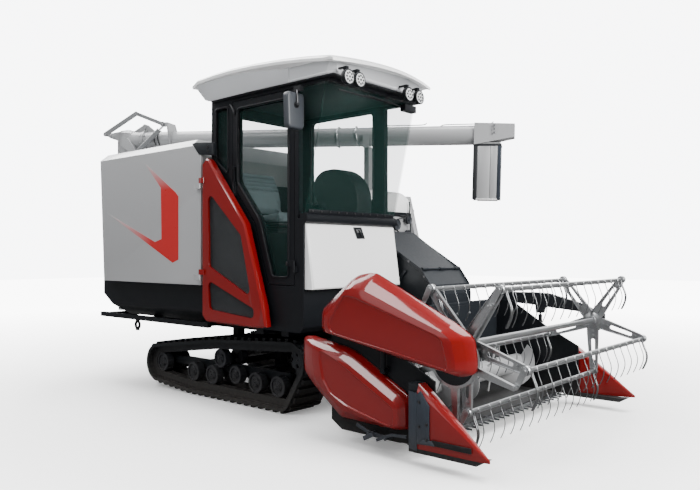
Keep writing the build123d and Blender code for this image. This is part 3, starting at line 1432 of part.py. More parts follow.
# Frame of the unloading auger: x along the tube, y up, z to the tube's right
BOOM_C, BOOM_S = math.cos(math.radians(BOOM_YAW)), math.sin(math.radians(BOOM_YAW))
FALL_C, FALL_S = math.cos(math.radians(BOOM_FALL)), math.sin(math.radians(BOOM_FALL))
BOOM_DIR = (BOOM_C * FALL_C, BOOM_S * FALL_C, -FALL_S)
BOOM_RIGHT = (BOOM_S, -BOOM_C, 0)
BOOM = Plane(origin=(RISER_X, RISER_Y, BOOM_Z), x_dir=BOOM_DIR, z_dir=BOOM_RIGHT)
BOOM_ACROSS = Plane(origin=(RISER_X, RISER_Y, BOOM_Z), x_dir=(-BOOM_S, BOOM_C, 0), z_dir=BOOM_DIR)
FLANGE_R = 104
FLANGE_T = 12
PIVOT = (BOOM_START, 145)  # the boom's hinge, in the auger's frame
RAM_LOW, RAM_HIGH = (180, -150), (500, 140)
RAM_SIDE = 134
LEVER_PIN, LEVER_TIP = (-150, 43), (205, 250)
BAR_T = 12
LINK_SIDE = RAM_SIDE + 36
LEVER_SIDE = LINK_SIDE + BAR_T + GAP
AUGER_PIN_R = 10
LINK_PLAY = 9.2  # by how much the link's front eye is wider than its pin

# Riser behind the tank, clamped to the tank's rear wall
RISER_FOOT = (-2360, BODY_REAR, -750, -510, 760, 1000)  # x0, x1, y0, y1, z0, z1
CLAMP_Z = (1960, 2040)


def tank_rear(z):
    """X of the tank's sloping rear wall at a height."""
    return TANK_REAR + (TANK_REAR_TOP - TANK_REAR) * (z - TANK_FLOOR) / (TANK_TOP - TANK_FLOOR)


with BuildPart() as auger_riser:
    with BuildSketch(Plane.XY.offset(RISER_FOOT[4] - 60)):
        with Locations((RISER_X, RISER_Y)):
            Circle(RISER_R)
    extrude(amount=RISER_TOP - RISER_FOOT[4] + 60)
    with BuildSketch(Plane.XY.offset(RISER_FOOT[4])):
        with Locations(((RISER_FOOT[0] + RISER_FOOT[1]) / 2, (RISER_FOOT[2] + RISER_FOOT[3]) / 2)):
            Rectangle(RISER_FOOT[1] - RISER_FOOT[0], RISER_FOOT[3] - RISER_FOOT[2])
    extrude(amount=RISER_FOOT[5] - RISER_FOOT[4])
    with BuildSketch(side_plane(RISER_Y)):
        Polygon(
            (RISER_X, CLAMP_Z[0]),
            (tank_rear(CLAMP_Z[0]), CLAMP_Z[0]),
            (tank_rear(CLAMP_Z[1]), CLAMP_Z[1]),
            (RISER_X, CLAMP_Z[1]),
            align=None,
        )
    extrude(amount=70, both=True)
save(auger_riser, "auger_riser")

# Turret: collar and elbow that slew on the riser, with the flange, hinge cheeks, ram arm and lever arm
with BuildPart() as auger_turret:
    with BuildSketch(Plane.XY.offset(RISER_TOP + FIT)):
        with Locations((RISER_X, RISER_Y)):
            Circle(RISER_R + 8)
    extrude(amount=BOOM_Z + 100 - RISER_TOP)
    chamfer(auger_turret.faces().sort_by(Axis.Z)[-1].edges(), length=30)
    with BuildSketch(BOOM_ACROSS):
        Circle(BOOM_R + 5)
    extrude(amount=BOOM_START)
    with BuildSketch(BOOM_ACROSS.offset(BOOM_START - FLANGE_T)):
        Circle(FLANGE_R)
    extrude(amount=FLANGE_T)
    for inner, outer in ((-35, -21), (21, 35)):
        with BuildSketch(BOOM.offset(inner)):
            Polygon((80, 90), (BOOM_START, 90), (BOOM_START + 12, 145), (BOOM_START - 22, 155), align=None)
            with Locations(PIVOT):
                Circle(24)
            with Locations((BOOM_START + 30, 80)):
                Rectangle(60 - 2 * FIT, 80, mode=Mode.SUBTRACT)
        extrude(amount=outer - inner)
    with BuildSketch(BOOM.offset(-35)):
        with Locations(PIVOT):
            Circle(11)
    extrude(amount=70)
    with BuildSketch(BOOM.offset(60)):
        Polygon((-20, -60), (150, -178), (190, -178), (206, -150), (168, -126), (60, 20), align=None)
    extrude(amount=RAM_SIDE - 13 - 60)
    with BuildSketch(BOOM.offset(60)):
        with Locations(RAM_LOW):
            Circle(AUGER_PIN_R)
    extrude(amount=RAM_SIDE + 14 - 60)
    with BuildSketch(BOOM.offset(60)):
        Polygon((0, -30), (-160, 20), (-172, 43), (-160, 66), (0, 90), align=None)
    extrude(amount=40)
    with BuildSketch(BOOM.offset(60)):
        with Locations(LEVER_PIN):
            Circle(AUGER_PIN_R)
    extrude(amount=LEVER_SIDE + BAR_T / 2 + 2 - 60)
    with BuildSketch(BOOM.offset(60)):
        with Locations(LEVER_PIN):
            Circle(18)
    extrude(amount=LEVER_SIDE - BAR_T / 2 - 1 - 60)
save(auger_turret, "auger_turret")

# Boom: flange, tube and end hood with the open chute below it
HOOD_REAR, HOOD_TIP, HOOD_TIP_W = 200, 120, 136
CHUTE_LENGTH = 240
CHUTE_W = 150
CHUTE_DROP = 600
BRACKET_U = 540
with BuildPart() as auger_boom:
    with BuildSketch(BOOM_ACROSS.offset(BOOM_START + FIT)):
        Circle(FLANGE_R)
    extrude(amount=FLANGE_T)
    with BuildSketch(BOOM_ACROSS.offset(BOOM_START + FLANGE_T)):
        Circle(BOOM_R)
    extrude(amount=BOOM_LENGTH - BOOM_START - FLANGE_T)
    with BuildSketch(BOOM.offset(-20)):
        Polygon(
            (BOOM_START + FIT, 121),
            (BOOM_START + FIT, 80),
            (340, 80),
            (234, 160),
            (BOOM_START, 150),
            align=None,
        )
        with Locations(PIVOT):
            Circle(24)
            Circle(11 + FIT, mode=Mode.SUBTRACT)
    extrude(amount=40)
    with BuildSketch(BOOM_ACROSS.offset(BOOM_LENGTH)):
        Rectangle(HOOD_REAR, HOOD_REAR)
    with BuildSketch(BOOM_ACROSS.offset(BOOM_LENGTH + HOOD_LENGTH)):
        with Locations((0, 30)):
            Rectangle(HOOD_TIP_W, HOOD_TIP)
    loft()
    with BuildSketch(Plane(origin=BOOM.from_local_coords((BOOM_LENGTH, -80, 0)), x_dir=BOOM_DIR, z_dir=BOOM.y_dir)):
        with Locations((CHUTE_LENGTH / 2, 0)):
            Rectangle(CHUTE_LENGTH, CHUTE_W)
            Rectangle(CHUTE_LENGTH - 2 * SHEET, CHUTE_W - 2 * SHEET, mode=Mode.SUBTRACT)
    extrude(amount=-CHUTE_DROP + 80)
    with BuildSketch(BOOM_ACROSS.offset(BRACKET_U)):
        Polygon((-156, 110), (-156, 160), (0, 160), (110, 0), (0, -110), (-100, -60), align=None)
        Circle(BOOM_R - 4, mode=Mode.SUBTRACT)
    extrude(amount=12)
    with BuildSketch(BOOM.offset(RAM_SIDE + 14)):
        Polygon((480, 120), (480, 160), (BRACKET_U + 12, 160), (BRACKET_U + 12, 115), align=None)
        with Locations(RAM_HIGH):
            Circle(22)
    extrude(amount=BAR_T)
    with BuildSketch(BOOM.offset(RAM_SIDE - 14)):
        with Locations(RAM_HIGH):
            Circle(AUGER_PIN_R)
    extrude(amount=LINK_SIDE + BAR_T / 2 + 2 - RAM_SIDE + 14)
save(auger_boom, "auger_boom")

cylinder(
    Plane(
        origin=BOOM.from_local_coords((*RAM_LOW, RAM_SIDE)),
        x_dir=BOOM.from_local_coords((*RAM_HIGH, RAM_SIDE)) - BOOM.from_local_coords((*RAM_LOW, RAM_SIDE)),
        z_dir=BOOM_RIGHT,
    ),
    (22, 24, AUGER_PIN_R, 24, 11, 7.2),
    (350, 190, math.dist(RAM_LOW, RAM_HIGH)),
    ("auger_barrel", "auger_rod"),
)

# Lever on the turret and the link from its tip to the boom's bracket
with BuildPart() as auger_lever:
    with BuildSketch(BOOM.offset(LEVER_SIDE)):
        with Locations(
            Location(
                ((LEVER_PIN[0] + LEVER_TIP[0]) / 2, (LEVER_PIN[1] + LEVER_TIP[1]) / 2, 0),
                (0, 0, math.degrees(math.atan2(LEVER_TIP[1] - LEVER_PIN[1], LEVER_TIP[0] - LEVER_PIN[0]))),
            )
        ):
            SlotCenterToCenter(math.dist(LEVER_PIN, LEVER_TIP), 44)
        with Locations(LEVER_PIN):
            Circle(AUGER_PIN_R + FIT, mode=Mode.SUBTRACT)
    extrude(amount=BAR_T / 2, both=True)
    with BuildSketch(BOOM.offset(LINK_SIDE - BAR_T / 2 - 2)):
        with Locations(LEVER_TIP):
            Circle(AUGER_PIN_R)
    extrude(amount=LEVER_SIDE - LINK_SIDE + BAR_T / 2)
save(auger_lever, "auger_lever")

with BuildPart() as auger_link:
    with BuildSketch(BOOM.offset(LINK_SIDE)):
        with Locations(
            Location(
                ((LEVER_TIP[0] + RAM_HIGH[0]) / 2, (LEVER_TIP[1] + RAM_HIGH[1]) / 2, 0),
                (0, 0, math.degrees(math.atan2(RAM_HIGH[1] - LEVER_TIP[1], RAM_HIGH[0] - LEVER_TIP[0]))),
            )
        ):
            SlotCenterToCenter(math.dist(LEVER_TIP, RAM_HIGH), 36)
        with Locations(RAM_HIGH):
            Circle(AUGER_PIN_R + LINK_PLAY + 5)
            Circle(AUGER_PIN_R + LINK_PLAY, mode=Mode.SUBTRACT)
        with Locations(LEVER_TIP):
            Circle(AUGER_PIN_R + FIT, mode=Mode.SUBTRACT)
    extrude(amount=BAR_T / 2, both=True)
save(auger_link, "auger_link")

# Cradle that the boom lies in, open to the left
CRADLE_X = 100
CRADLE_U = (CRADLE_X - RISER_X) / BOOM_DIR[0]
CRADLE_Y = RISER_Y + CRADLE_U * BOOM_DIR[1]
CRADLE_Z = BOOM_Z + CRADLE_U * BOOM_DIR[2]
with BuildPart() as auger_cradle:
    with BuildSketch(Plane.XY.offset(THRESHER_TOP)):
        with Locations((CRADLE_X, CRADLE_Y)):
            Rectangle(96, 160)
    extrude(amount=12)
    with BuildSketch(Plane.XY.offset(THRESHER_TOP)):
        with Locations((CRADLE_X, CRADLE_Y)):
            Rectangle(60, 60)
    extrude(amount=CRADLE_Z - BOOM_R - GAP - 8 - THRESHER_TOP)
    with BuildSketch(BOOM_ACROSS.offset(CRADLE_U - 30)):
        Polygon(
            (60, -BOOM_R - GAP),
            (-BOOM_R - GAP, -BOOM_R - GAP),
            (-BOOM_R - GAP, 10),
            (-BOOM_R - GAP - 12, 10),
            (-BOOM_R - GAP - 12, -BOOM_R - GAP - 14),
            (60, -BOOM_R - GAP - 14),
            align=None,
        )
    extrude(amount=60)
save(auger_cradle, "auger_cradle")
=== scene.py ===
# %% [markdown]
# A combine harvester on rubber tracks. The CAD part gives every sheet, shaft and joint its place, and
# this script dresses it: paint, glass, rubber, tines, bolts, pipes and lamps. Every length is in metres,
# in the part's own frame: X runs forwards, Y to the machine's left and Z up from the ground.

# %% Load the frame
import math

import bmesh
import bpy
from mathutils import Matrix, Vector


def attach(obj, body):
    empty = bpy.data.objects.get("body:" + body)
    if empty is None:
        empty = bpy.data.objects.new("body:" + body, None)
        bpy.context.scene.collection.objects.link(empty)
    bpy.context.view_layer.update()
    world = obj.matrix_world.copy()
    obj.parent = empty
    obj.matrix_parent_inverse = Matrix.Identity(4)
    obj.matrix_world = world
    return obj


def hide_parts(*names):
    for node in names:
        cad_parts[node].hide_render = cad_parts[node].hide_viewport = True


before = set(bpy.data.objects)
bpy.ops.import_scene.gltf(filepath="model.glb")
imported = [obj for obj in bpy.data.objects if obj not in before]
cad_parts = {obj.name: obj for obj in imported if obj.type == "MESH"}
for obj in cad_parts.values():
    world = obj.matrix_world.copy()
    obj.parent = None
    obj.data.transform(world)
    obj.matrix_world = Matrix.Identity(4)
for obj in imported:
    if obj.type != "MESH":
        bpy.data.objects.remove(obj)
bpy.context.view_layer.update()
MM = 0.001
print("CAD nodes:", len(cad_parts))

# %% [markdown]
# The camera stands at the photograph's own place: at chest height beside the right front corner, level,
# with the horizon a little below the middle of the picture. Keeping it level keeps upright edges upright.

# %% Camera
# width of the picture, focal length and shift of the horizon, in pixels
PICTURE_W, FOCAL_PX, HORIZON_PX = 700, 690, 8
SENSOR = 36.0
CAMERA_AT = (4.344, -4.622, 1.300)
CAMERA_TURN = 41.0

lens = bpy.data.cameras.new("photo_camera")
lens.sensor_width = SENSOR
lens.lens = FOCAL_PX / PICTURE_W * SENSOR
lens.shift_y = HORIZON_PX / PICTURE_W
lens.clip_end = 100
camera = bpy.data.objects.new("photo_camera", lens)
camera.location = CAMERA_AT
camera.rotation_euler = (math.radians(90), 0, math.radians(CAMERA_TURN))
bpy.context.scene.collection.objects.link(camera)
bpy.context.scene.camera = camera
print("lens", round(lens.lens, 2), "mm")

# %% [markdown]
# The machine stands on a plain pale floor under soft light. A wide, even ceiling light falls on it from
# above, a large soft lamp stands in front of it, weaker ones fill the other sides, one high on the right
# draws the pale stripes along the red shields, and an even pale sky keeps the shadows open. A white floor
# would throw so much light up that the undersides lose their shade, so what the camera sees of the floor
# is white, what the floor throws back is a mid grey, and glossy paint mirrors a dark one. Far away the
# floor glows as the sky does, so that no line shows where they meet.

# %% Floor and light
FLOOR_SIZE = 60


def node_material(name):
    """A new material with its shader, and the node tree to build on."""
    material = bpy.data.materials.new(name)
    material.use_nodes = True
    return material, material.node_tree, material.node_tree.nodes["Principled BSDF"]


FLOOR_SEEN = (0.93, 0.93, 0.93, 1)
FLOOR_THROWN = (0.3, 0.3, 0.3, 1)
FLOOR_MIRRORED = (0.07, 0.07, 0.07, 1)
SKY_SEEN, SKY_THROWN = 8.0, 0.2
# how far out the floor's glow starts and is full, in metres, and its strength near the machine
GLOW_FROM, GLOW_TO, GLOW_NEAR = 2.5, 11.0, 0.25
floor_material, floor_tree, floor_shader = node_material("studio_floor")
floor_shader.inputs["Roughness"].default_value = 0.75
floor_rays = floor_tree.nodes.new("ShaderNodeLightPath").outputs


def floor_mix(rays, other, colour):
    """One colour for these rays, and another for the rest."""
    pick = floor_tree.nodes.new("ShaderNodeMix")
    pick.data_type = "RGBA"
    pick.inputs["B"].default_value = colour
    if isinstance(other, tuple):
        pick.inputs["A"].default_value = other
    else:
        floor_tree.links.new(other, pick.inputs["A"])
    floor_tree.links.new(floor_rays[rays], pick.inputs["Factor"])
    return pick.outputs["Result"]


floor_colour = floor_mix("Is Glossy Ray", FLOOR_THROWN, FLOOR_MIRRORED)
floor_colour = floor_mix("Is Camera Ray", floor_colour, FLOOR_SEEN)
floor_tree.links.new(floor_colour, floor_shader.inputs["Base Color"])
far_glow = floor_tree.nodes.new("ShaderNodeMapRange")
for label, value in (
    ("From Min", GLOW_FROM), ("From Max", GLOW_TO), ("To Min", GLOW_NEAR), ("To Max", SKY_SEEN)
):
    far_glow.inputs[label].default_value = value
floor_reach = floor_tree.nodes.new("ShaderNodeVectorMath")
floor_reach.operation = "LENGTH"
floor_tree.links.new(floor_tree.nodes.new("ShaderNodeTexCoord").outputs["Object"], floor_reach.inputs[0])
floor_tree.links.new(floor_reach.outputs["Value"], far_glow.inputs["Value"])
seen_glow = floor_tree.nodes.new("ShaderNodeMath")
seen_glow.operation = "MULTIPLY"
floor_tree.links.new(far_glow.outputs[0], seen_glow.inputs[0])
floor_tree.links.new(floor_rays["Is Camera Ray"], seen_glow.inputs[1])
floor_tree.links.new(seen_glow.outputs[0], floor_shader.inputs["Emission Strength"])
floor_shader.inputs["Emission Color"].default_value = (1, 1, 1, 1)
floor_mesh = bpy.data.meshes.new("floor")
half = FLOOR_SIZE / 2
floor_corners = [(-half, -half, 0), (half, -half, 0), (half, half, 0), (-half, half, 0)]
floor_mesh.from_pydata(floor_corners, [], [(0, 1, 2, 3)])
floor = bpy.data.objects.new("floor", floor_mesh)
floor_mesh.materials.append(floor_material)
bpy.context.scene.collection.objects.link(floor)

world = bpy.data.worlds.new("studio")
world.use_nodes = True
sky = world.node_tree
seen = sky.nodes.new("ShaderNodeLightPath").outputs["Is Camera Ray"]
sky.nodes["Background"].inputs["Color"].default_value = (0.97, 0.98, 1, 1)
strength = sky.nodes.new("ShaderNodeMapRange")
strength.inputs["To Min"].default_value = SKY_THROWN
strength.inputs["To Max"].default_value = SKY_SEEN
sky.links.new(seen, strength.inputs["Value"])
sky.links.new(strength.outputs[0], sky.nodes["Background"].inputs["Strength"])
bpy.context.scene.world = world

# name, place, aimed at, width, depth, watts, colour
LAMPS = (
    ("front", (9.5, -0.5, 4.6), (0, -0.3, 1.0), 5.0, 5.0, 1700, (1, 0.995, 0.98)),
    ("right", (-1.0, -9.0, 4.2), (0, 0, 1.2), 6.0, 3.5, 90, (0.97, 0.985, 1)),
    ("crest", (0.0, -5.9, 6.6), (1.6, -1.2, 0.9), 3.2, 2.4, 260, (1, 1, 1)),
    ("left", (0.5, 9.0, 4.5), (0, 0, 1.2), 6.0, 4.0, 200, (1, 1, 1)),
    ("rear", (-5.4, -1.0, 7.8), (0.5, -0.6, 1.4), 6.0, 6.5, 1200, (1, 1, 1)),
)
for name, place, aim, width, depth, watts, colour in LAMPS:
    light = bpy.data.lights.new(name, "AREA")
    light.shape = "RECTANGLE"
    light.size, light.size_y = width, depth
    light.energy = watts
    light.color = colour
    lamp = bpy.data.objects.new(name, light)
    lamp.location = place
    lamp.visible_camera = False
    lamp.rotation_euler = (Vector(aim) - Vector(place)).to_track_quat("-Z", "Y").to_euler()
    bpy.context.scene.collection.objects.link(lamp)

# strength of the ceiling light, how wide it is spread and how it leans about x and y, in degrees
CEILING_STRENGTH, CEILING_SPREAD, CEILING_LEAN = 4.8, 42, (-8, 10)
ceiling = bpy.data.lights.new("ceiling", "SUN")
ceiling.energy = CEILING_STRENGTH
ceiling.angle = math.radians(CEILING_SPREAD)
ceiling_lamp = bpy.data.objects.new("ceiling", ceiling)
ceiling_lamp.location = (0, 0, 9)
ceiling_lamp.rotation_euler = (math.radians(CEILING_LEAN[0]), math.radians(CEILING_LEAN[1]), 0)
bpy.context.scene.collection.objects.link(ceiling_lamp)
print("lamps:", len(LAMPS) + 1)

# %% [markdown]
# Effects that many finishes share are shader node groups, built once. Each reads the object's own
# coordinates, which are the machine's metres, so grain has the same real size on every piece.

# %% Shared shader groups
# dry earth, and the scale of its patches
DUST_COLOUR, PATCH_SCALE = (0.34, 0.29, 0.23, 1), 46.0


def shader_group(name, inputs, outputs):
    """An empty shader node group with named sockets, and its two ends."""
    group = bpy.data.node_groups.new(name, "ShaderNodeTree")
    for label, kind, value in inputs:
        socket = group.interface.new_socket(label, in_out="INPUT", socket_type=kind)
        socket.default_value = value
    for label, kind in outputs:
        group.interface.new_socket(label, in_out="OUTPUT", socket_type=kind)
    return group, group.nodes.new("NodeGroupInput"), group.nodes.new("NodeGroupOutput")


def math_node(tree, operation, a, b, clamp=False):
    """A Math node fed by sockets or numbers."""
    node = tree.nodes.new("ShaderNodeMath")
    node.operation = operation
    node.use_clamp = clamp
    for socket, value in zip(node.inputs, (a, b)):
        if isinstance(value, (int, float)):
            socket.default_value = value
        else:
            tree.links.new(value, socket)
    return node.outputs[0]


def noise_node(tree, vector, scale, detail=3.0):
    """Noise on a vector, with a scale from a socket or a number."""
    node = tree.nodes.new("ShaderNodeTexNoise")
    node.inputs["Detail"].default_value = detail
    tree.links.new(vector, node.inputs["Vector"])
    if isinstance(scale, (int, float)):
        node.inputs["Scale"].default_value = scale
    else:
        tree.links.new(scale, node.inputs["Scale"])
    return node.outputs["Fac"]


def mix_colour(tree, factor, a, b):
    """A colour mix fed by sockets or values."""
    node = tree.nodes.new("ShaderNodeMix")
    node.data_type = "RGBA"
    for socket, value in zip((node.inputs[0], node.inputs[6], node.inputs[7]), (factor, a, b)):
        if isinstance(value, (int, float, tuple)):
            socket.default_value = value
        else:
            tree.links.new(value, socket)
    return node.outputs[2]


def build_paint_drift():
    """Slow changes of shade and gloss over a painted or moulded sheet, and dust near the ground."""
    group, start, end = shader_group(
        "paint_drift",
        [
            ("Color", "NodeSocketColor", (0.5, 0.5, 0.5, 1)),
            ("Shade", "NodeSocketFloat", 0.06),
            ("Scale", "NodeSocketFloat", 2.0),
            ("Roughness", "NodeSocketFloat", 0.3),
            ("Dust Height", "NodeSocketFloat", 0.3),
            ("Dust", "NodeSocketFloat", 0.25),
        ],
        [("Color", "NodeSocketColor"), ("Roughness", "NodeSocketFloat")],
    )
    where = group.nodes.new("ShaderNodeTexCoord").outputs["Object"]
    slow = noise_node(group, where, start.outputs["Scale"])
    fine = noise_node(group, where, PATCH_SCALE, 4.0)
    swing = math_node(group, "SUBTRACT", slow, 0.5)
    dark = math_node(group, "MULTIPLY", swing, start.outputs["Shade"])
    dark = math_node(group, "MULTIPLY", dark, 4.0)
    bright = group.nodes.new("ShaderNodeHueSaturation")
    group.links.new(math_node(group, "ADD", dark, 1.0), bright.inputs["Value"])
    group.links.new(start.outputs["Color"], bright.inputs["Color"])
    height = group.nodes.new("ShaderNodeSeparateXYZ")
    group.links.new(where, height.inputs[0])
    fade = math_node(group, "DIVIDE", height.outputs["Z"], start.outputs["Dust Height"])
    fade = math_node(group, "SUBTRACT", 1.0, fade, clamp=True)
    patchy = math_node(group, "MULTIPLY", fade, fine)
    dust = math_node(group, "MULTIPLY", patchy, start.outputs["Dust"], clamp=True)
    colour = mix_colour(group, dust, bright.outputs[0], DUST_COLOUR)
    group.links.new(colour, end.inputs["Color"])
    gloss = math_node(group, "MULTIPLY", math_node(group, "SUBTRACT", fine, 0.5), 0.12)
    gloss = math_node(group, "ADD", start.outputs["Roughness"], gloss)
    gloss = math_node(group, "ADD", gloss, math_node(group, "MULTIPLY", dust, 0.5), clamp=True)
    group.links.new(gloss, end.inputs["Roughness"])
    return group


def build_fine_relief():
    """Small relief: orange peel on paint, grain on mouldings, pits on castings."""
    group, start, end = shader_group(
        "fine_relief",
        [
            ("Scale", "NodeSocketFloat", 300.0),
            ("Strength", "NodeSocketFloat", 0.05),
            ("Depth", "NodeSocketFloat", 0.001),
        ],
        [("Normal", "NodeSocketVector")],
    )
    where = group.nodes.new("ShaderNodeTexCoord").outputs["Object"]
    grain = noise_node(group, where, start.outputs["Scale"], 2.0)
    bump = group.nodes.new("ShaderNodeBump")
    group.links.new(start.outputs["Strength"], bump.inputs["Strength"])
    group.links.new(start.outputs["Depth"], bump.inputs["Distance"])
    group.links.new(grain, bump.inputs["Height"])
    group.links.new(bump.outputs[0], end.inputs["Normal"])
    return group


def build_drawn_steel():
    """The fine lines of drawn or rolled steel, along one axis of the machine."""
    group, start, end = shader_group(
        "drawn_steel",
        [
            ("Color", "NodeSocketColor", (0.5, 0.5, 0.5, 1)),
            ("Along", "NodeSocketVector", (30.0, 1.5, 30.0)),
            ("Roughness", "NodeSocketFloat", 0.3),
            ("Spread", "NodeSocketFloat", 0.2),
        ],
        [("Color", "NodeSocketColor"), ("Roughness", "NodeSocketFloat"), ("Normal", "NodeSocketVector")],
    )
    where = group.nodes.new("ShaderNodeTexCoord").outputs["Object"]
    stretch = group.nodes.new("ShaderNodeVectorMath")
    stretch.operation = "MULTIPLY"
    group.links.new(where, stretch.inputs[0])
    group.links.new(start.outputs["Along"], stretch.inputs[1])
    lines = noise_node(group, stretch.outputs[0], 6.0, 5.0)
    swing = math_node(group, "SUBTRACT", lines, 0.5)
    shade = group.nodes.new("ShaderNodeHueSaturation")
    light = math_node(group, "ADD", math_node(group, "MULTIPLY", swing, 0.5), 1.0)
    group.links.new(light, shade.inputs["Value"])
    group.links.new(start.outputs["Color"], shade.inputs["Color"])
    group.links.new(shade.outputs[0], end.inputs["Color"])
    rough = math_node(group, "MULTIPLY", swing, start.outputs["Spread"])
    rough = math_node(group, "ADD", start.outputs["Roughness"], rough, clamp=True)
    group.links.new(rough, end.inputs["Roughness"])
    bump = group.nodes.new("ShaderNodeBump")
    bump.inputs["Strength"].default_value = 0.08
    bump.inputs["Distance"].default_value = 0.0006
    group.links.new(lines, bump.inputs["Height"])
    group.links.new(bump.outputs[0], end.inputs["Normal"])
    return group


PAINT_DRIFT = build_paint_drift()
FINE_RELIEF = build_fine_relief()
DRAWN_STEEL = build_drawn_steel()
print("groups:", PAINT_DRIFT.name, FINE_RELIEF.name, DRAWN_STEEL.name)

# %% [markdown]
# Most of the machine is painted sheet, moulded plastic or rubber. One builder makes all of these from the
# shared groups, and each finish has its own colour, gloss, grain and dust. A clear coat gives the red
# mouldings and the silver tank their second, sharper reflection.

# %% Painted, moulded and rubber finishes


def place_group(tree, group, values):
    """One of the shared groups in a material, with its values set."""
    node = tree.nodes.new("ShaderNodeGroup")
    node.node_tree = group
    for label, value in values.items():
        node.inputs[label].default_value = value
    return node


COAT_ROUGH = 0.06


def coated_finish(
    name, colour, rough, metal=0.0, coat=0.0, shade=0.05, scale=2.0, grain=(300.0, 0.04), dust=(0.3, 0.25),
    shine=0.5,
):
    """Paint, plastic or rubber: drift of shade, relief as (scale, strength), dust as (height, amount)."""
    material, tree, shader = node_material(name)
    drift = place_group(
        tree,
        PAINT_DRIFT,
        {
            "Color": (*colour, 1),
            "Shade": shade,
            "Scale": scale,
            "Roughness": rough,
            "Dust Height": dust[0],
            "Dust": dust[1],
        },
    )
    relief = place_group(tree, FINE_RELIEF, {"Scale": grain[0], "Strength": grain[1]})
    tree.links.new(drift.outputs["Color"], shader.inputs["Base Color"])
    tree.links.new(drift.outputs["Roughness"], shader.inputs["Roughness"])
    tree.links.new(relief.outputs["Normal"], shader.inputs["Normal"])
    shader.inputs["Metallic"].default_value = metal
    shader.inputs["Coat Weight"].default_value = coat
    shader.inputs["Coat Roughness"].default_value = COAT_ROUGH
    shader.inputs["Specular IOR Level"].default_value = shine
    return material


SILVER = coated_finish(
    "silver_metallic", (0.45, 0.455, 0.465), 0.36,
    metal=0.35, coat=0.25, shade=0.02, scale=1.0, grain=(900.0, 0.05), dust=(0.9, 0.1),
)
WHITE = coated_finish(
    "white_moulding", (0.85, 0.855, 0.86), 0.32, coat=0.3, shade=0.02, scale=1.0, grain=(400.0, 0.03)
)
RED = coated_finish(
    "red_moulding", (0.17, 0.001, 0.001), 0.34,
    coat=1.0, shade=0.02, scale=0.7, grain=(260.0, 0.008), dust=(0.25, 0.05), shine=0.2,
)
BLACK = coated_finish(
    "black_paint", (0.006, 0.007, 0.009), 0.4, grain=(350.0, 0.03), dust=(0.3, 0.1), shine=0.22
)
SLATE = coated_finish(
    "slate_paint", (0.011, 0.0135, 0.017), 0.42, scale=2.5, grain=(320.0, 0.03), dust=(0.3, 0.15), shine=0.3
)
PALE_GREY = coated_finish(
    "pale_grey_paint", (0.3, 0.304, 0.312), 0.34, coat=0.35, shade=0.02, scale=1.5, grain=(600.0, 0.03)
)
GREY = coated_finish(
    "grey_paint", (0.16, 0.165, 0.17), 0.4, metal=0.2, coat=0.1, shade=0.04, grain=(350.0, 0.05)
)
RUBBER = coated_finish(
    "track_rubber", (0.014, 0.0155, 0.018), 0.6,
    shade=0.1, scale=6.0, grain=(220.0, 0.2), dust=(0.4, 0.2), shine=0.3,
)
CAST = coated_finish(
    "cast_roller", (0.028, 0.031, 0.037), 0.45,
    metal=0.2, shade=0.1, scale=5.0, grain=(500.0, 0.15), dust=(0.4, 0.2), shine=0.35,
)
PLASTIC = coated_finish(
    "dark_plastic", (0.009, 0.01, 0.012), 0.48, scale=3.0, grain=(900.0, 0.12), dust=(0.3, 0.1), shine=0.25
)
LAMP_WHITE = coated_finish(
    "lamp_reflector", (0.8, 0.81, 0.82), 0.18, metal=0.2, coat=0.5, shade=0.02, scale=8.0
)
# the roof band's finish: the white moulding darkened to a grey for the softer light on the roof's side,
# painted shade
ROOF_BAND_SHADE = coated_finish(
    "roof_band_painted_shade", (0.42, 0.43, 0.445), 0.34, coat=0.3, shade=0.02, scale=1.0, grain=(400.0, 0.03)
)
POST_BLUE = coated_finish(
    "blue_grey_paint", (0.024, 0.031, 0.042), 0.4, scale=2.5, grain=(320.0, 0.03), dust=(0.3, 0.15), shine=0.3
)
MIRROR_GREY = coated_finish(
    "mirror_moulding", (0.034, 0.039, 0.047), 0.42, shade=0.03, scale=3.0, grain=(700.0, 0.12)
)
print("painted, moulded and rubber finishes: 14")

# %% [markdown]
# Bare and zinc-plated steel is a metal with drawn lines, so its reflection breaks up along the bars. The
# glass has a green tint and lets most light through. Wire mesh and seat cloth are coated finishes too.

# %% Steel, glass and mesh finishes


def steel_finish(name, colour, rough, along=(30.0, 1.5, 30.0), spread=0.25):
    """Plated or bare steel with drawn lines along one axis."""
    material, tree, shader = node_material(name)
    drawn = place_group(
        tree, DRAWN_STEEL, {"Color": (*colour, 1), "Along": along, "Roughness": rough, "Spread": spread}
    )
    tree.links.new(drawn.outputs["Color"], shader.inputs["Base Color"])
    tree.links.new(drawn.outputs["Roughness"], shader.inputs["Roughness"])
    tree.links.new(drawn.outputs["Normal"], shader.inputs["Normal"])
    shader.inputs["Metallic"].default_value = 1.0
    return material


def glass_finish(name, colour, alpha):
    """Thin tinted glass: mostly clear, with the tint and the gloss of its surface."""
    material, tree, shader = node_material(name)
    shader.inputs["Base Color"].default_value = (*colour, 1)
    shader.inputs["Roughness"].default_value = 0.03
    shader.inputs["Alpha"].default_value = alpha
    shader.inputs["Specular IOR Level"].default_value = 0.7
    where = tree.nodes.new("ShaderNodeTexCoord").outputs["Object"]
    haze = noise_node(tree, where, 3.0)
    tint = mix_colour(tree, haze, (*colour, 1), (*[c * 0.8 for c in colour], 1))
    tree.links.new(tint, shader.inputs["Base Color"])
    return material


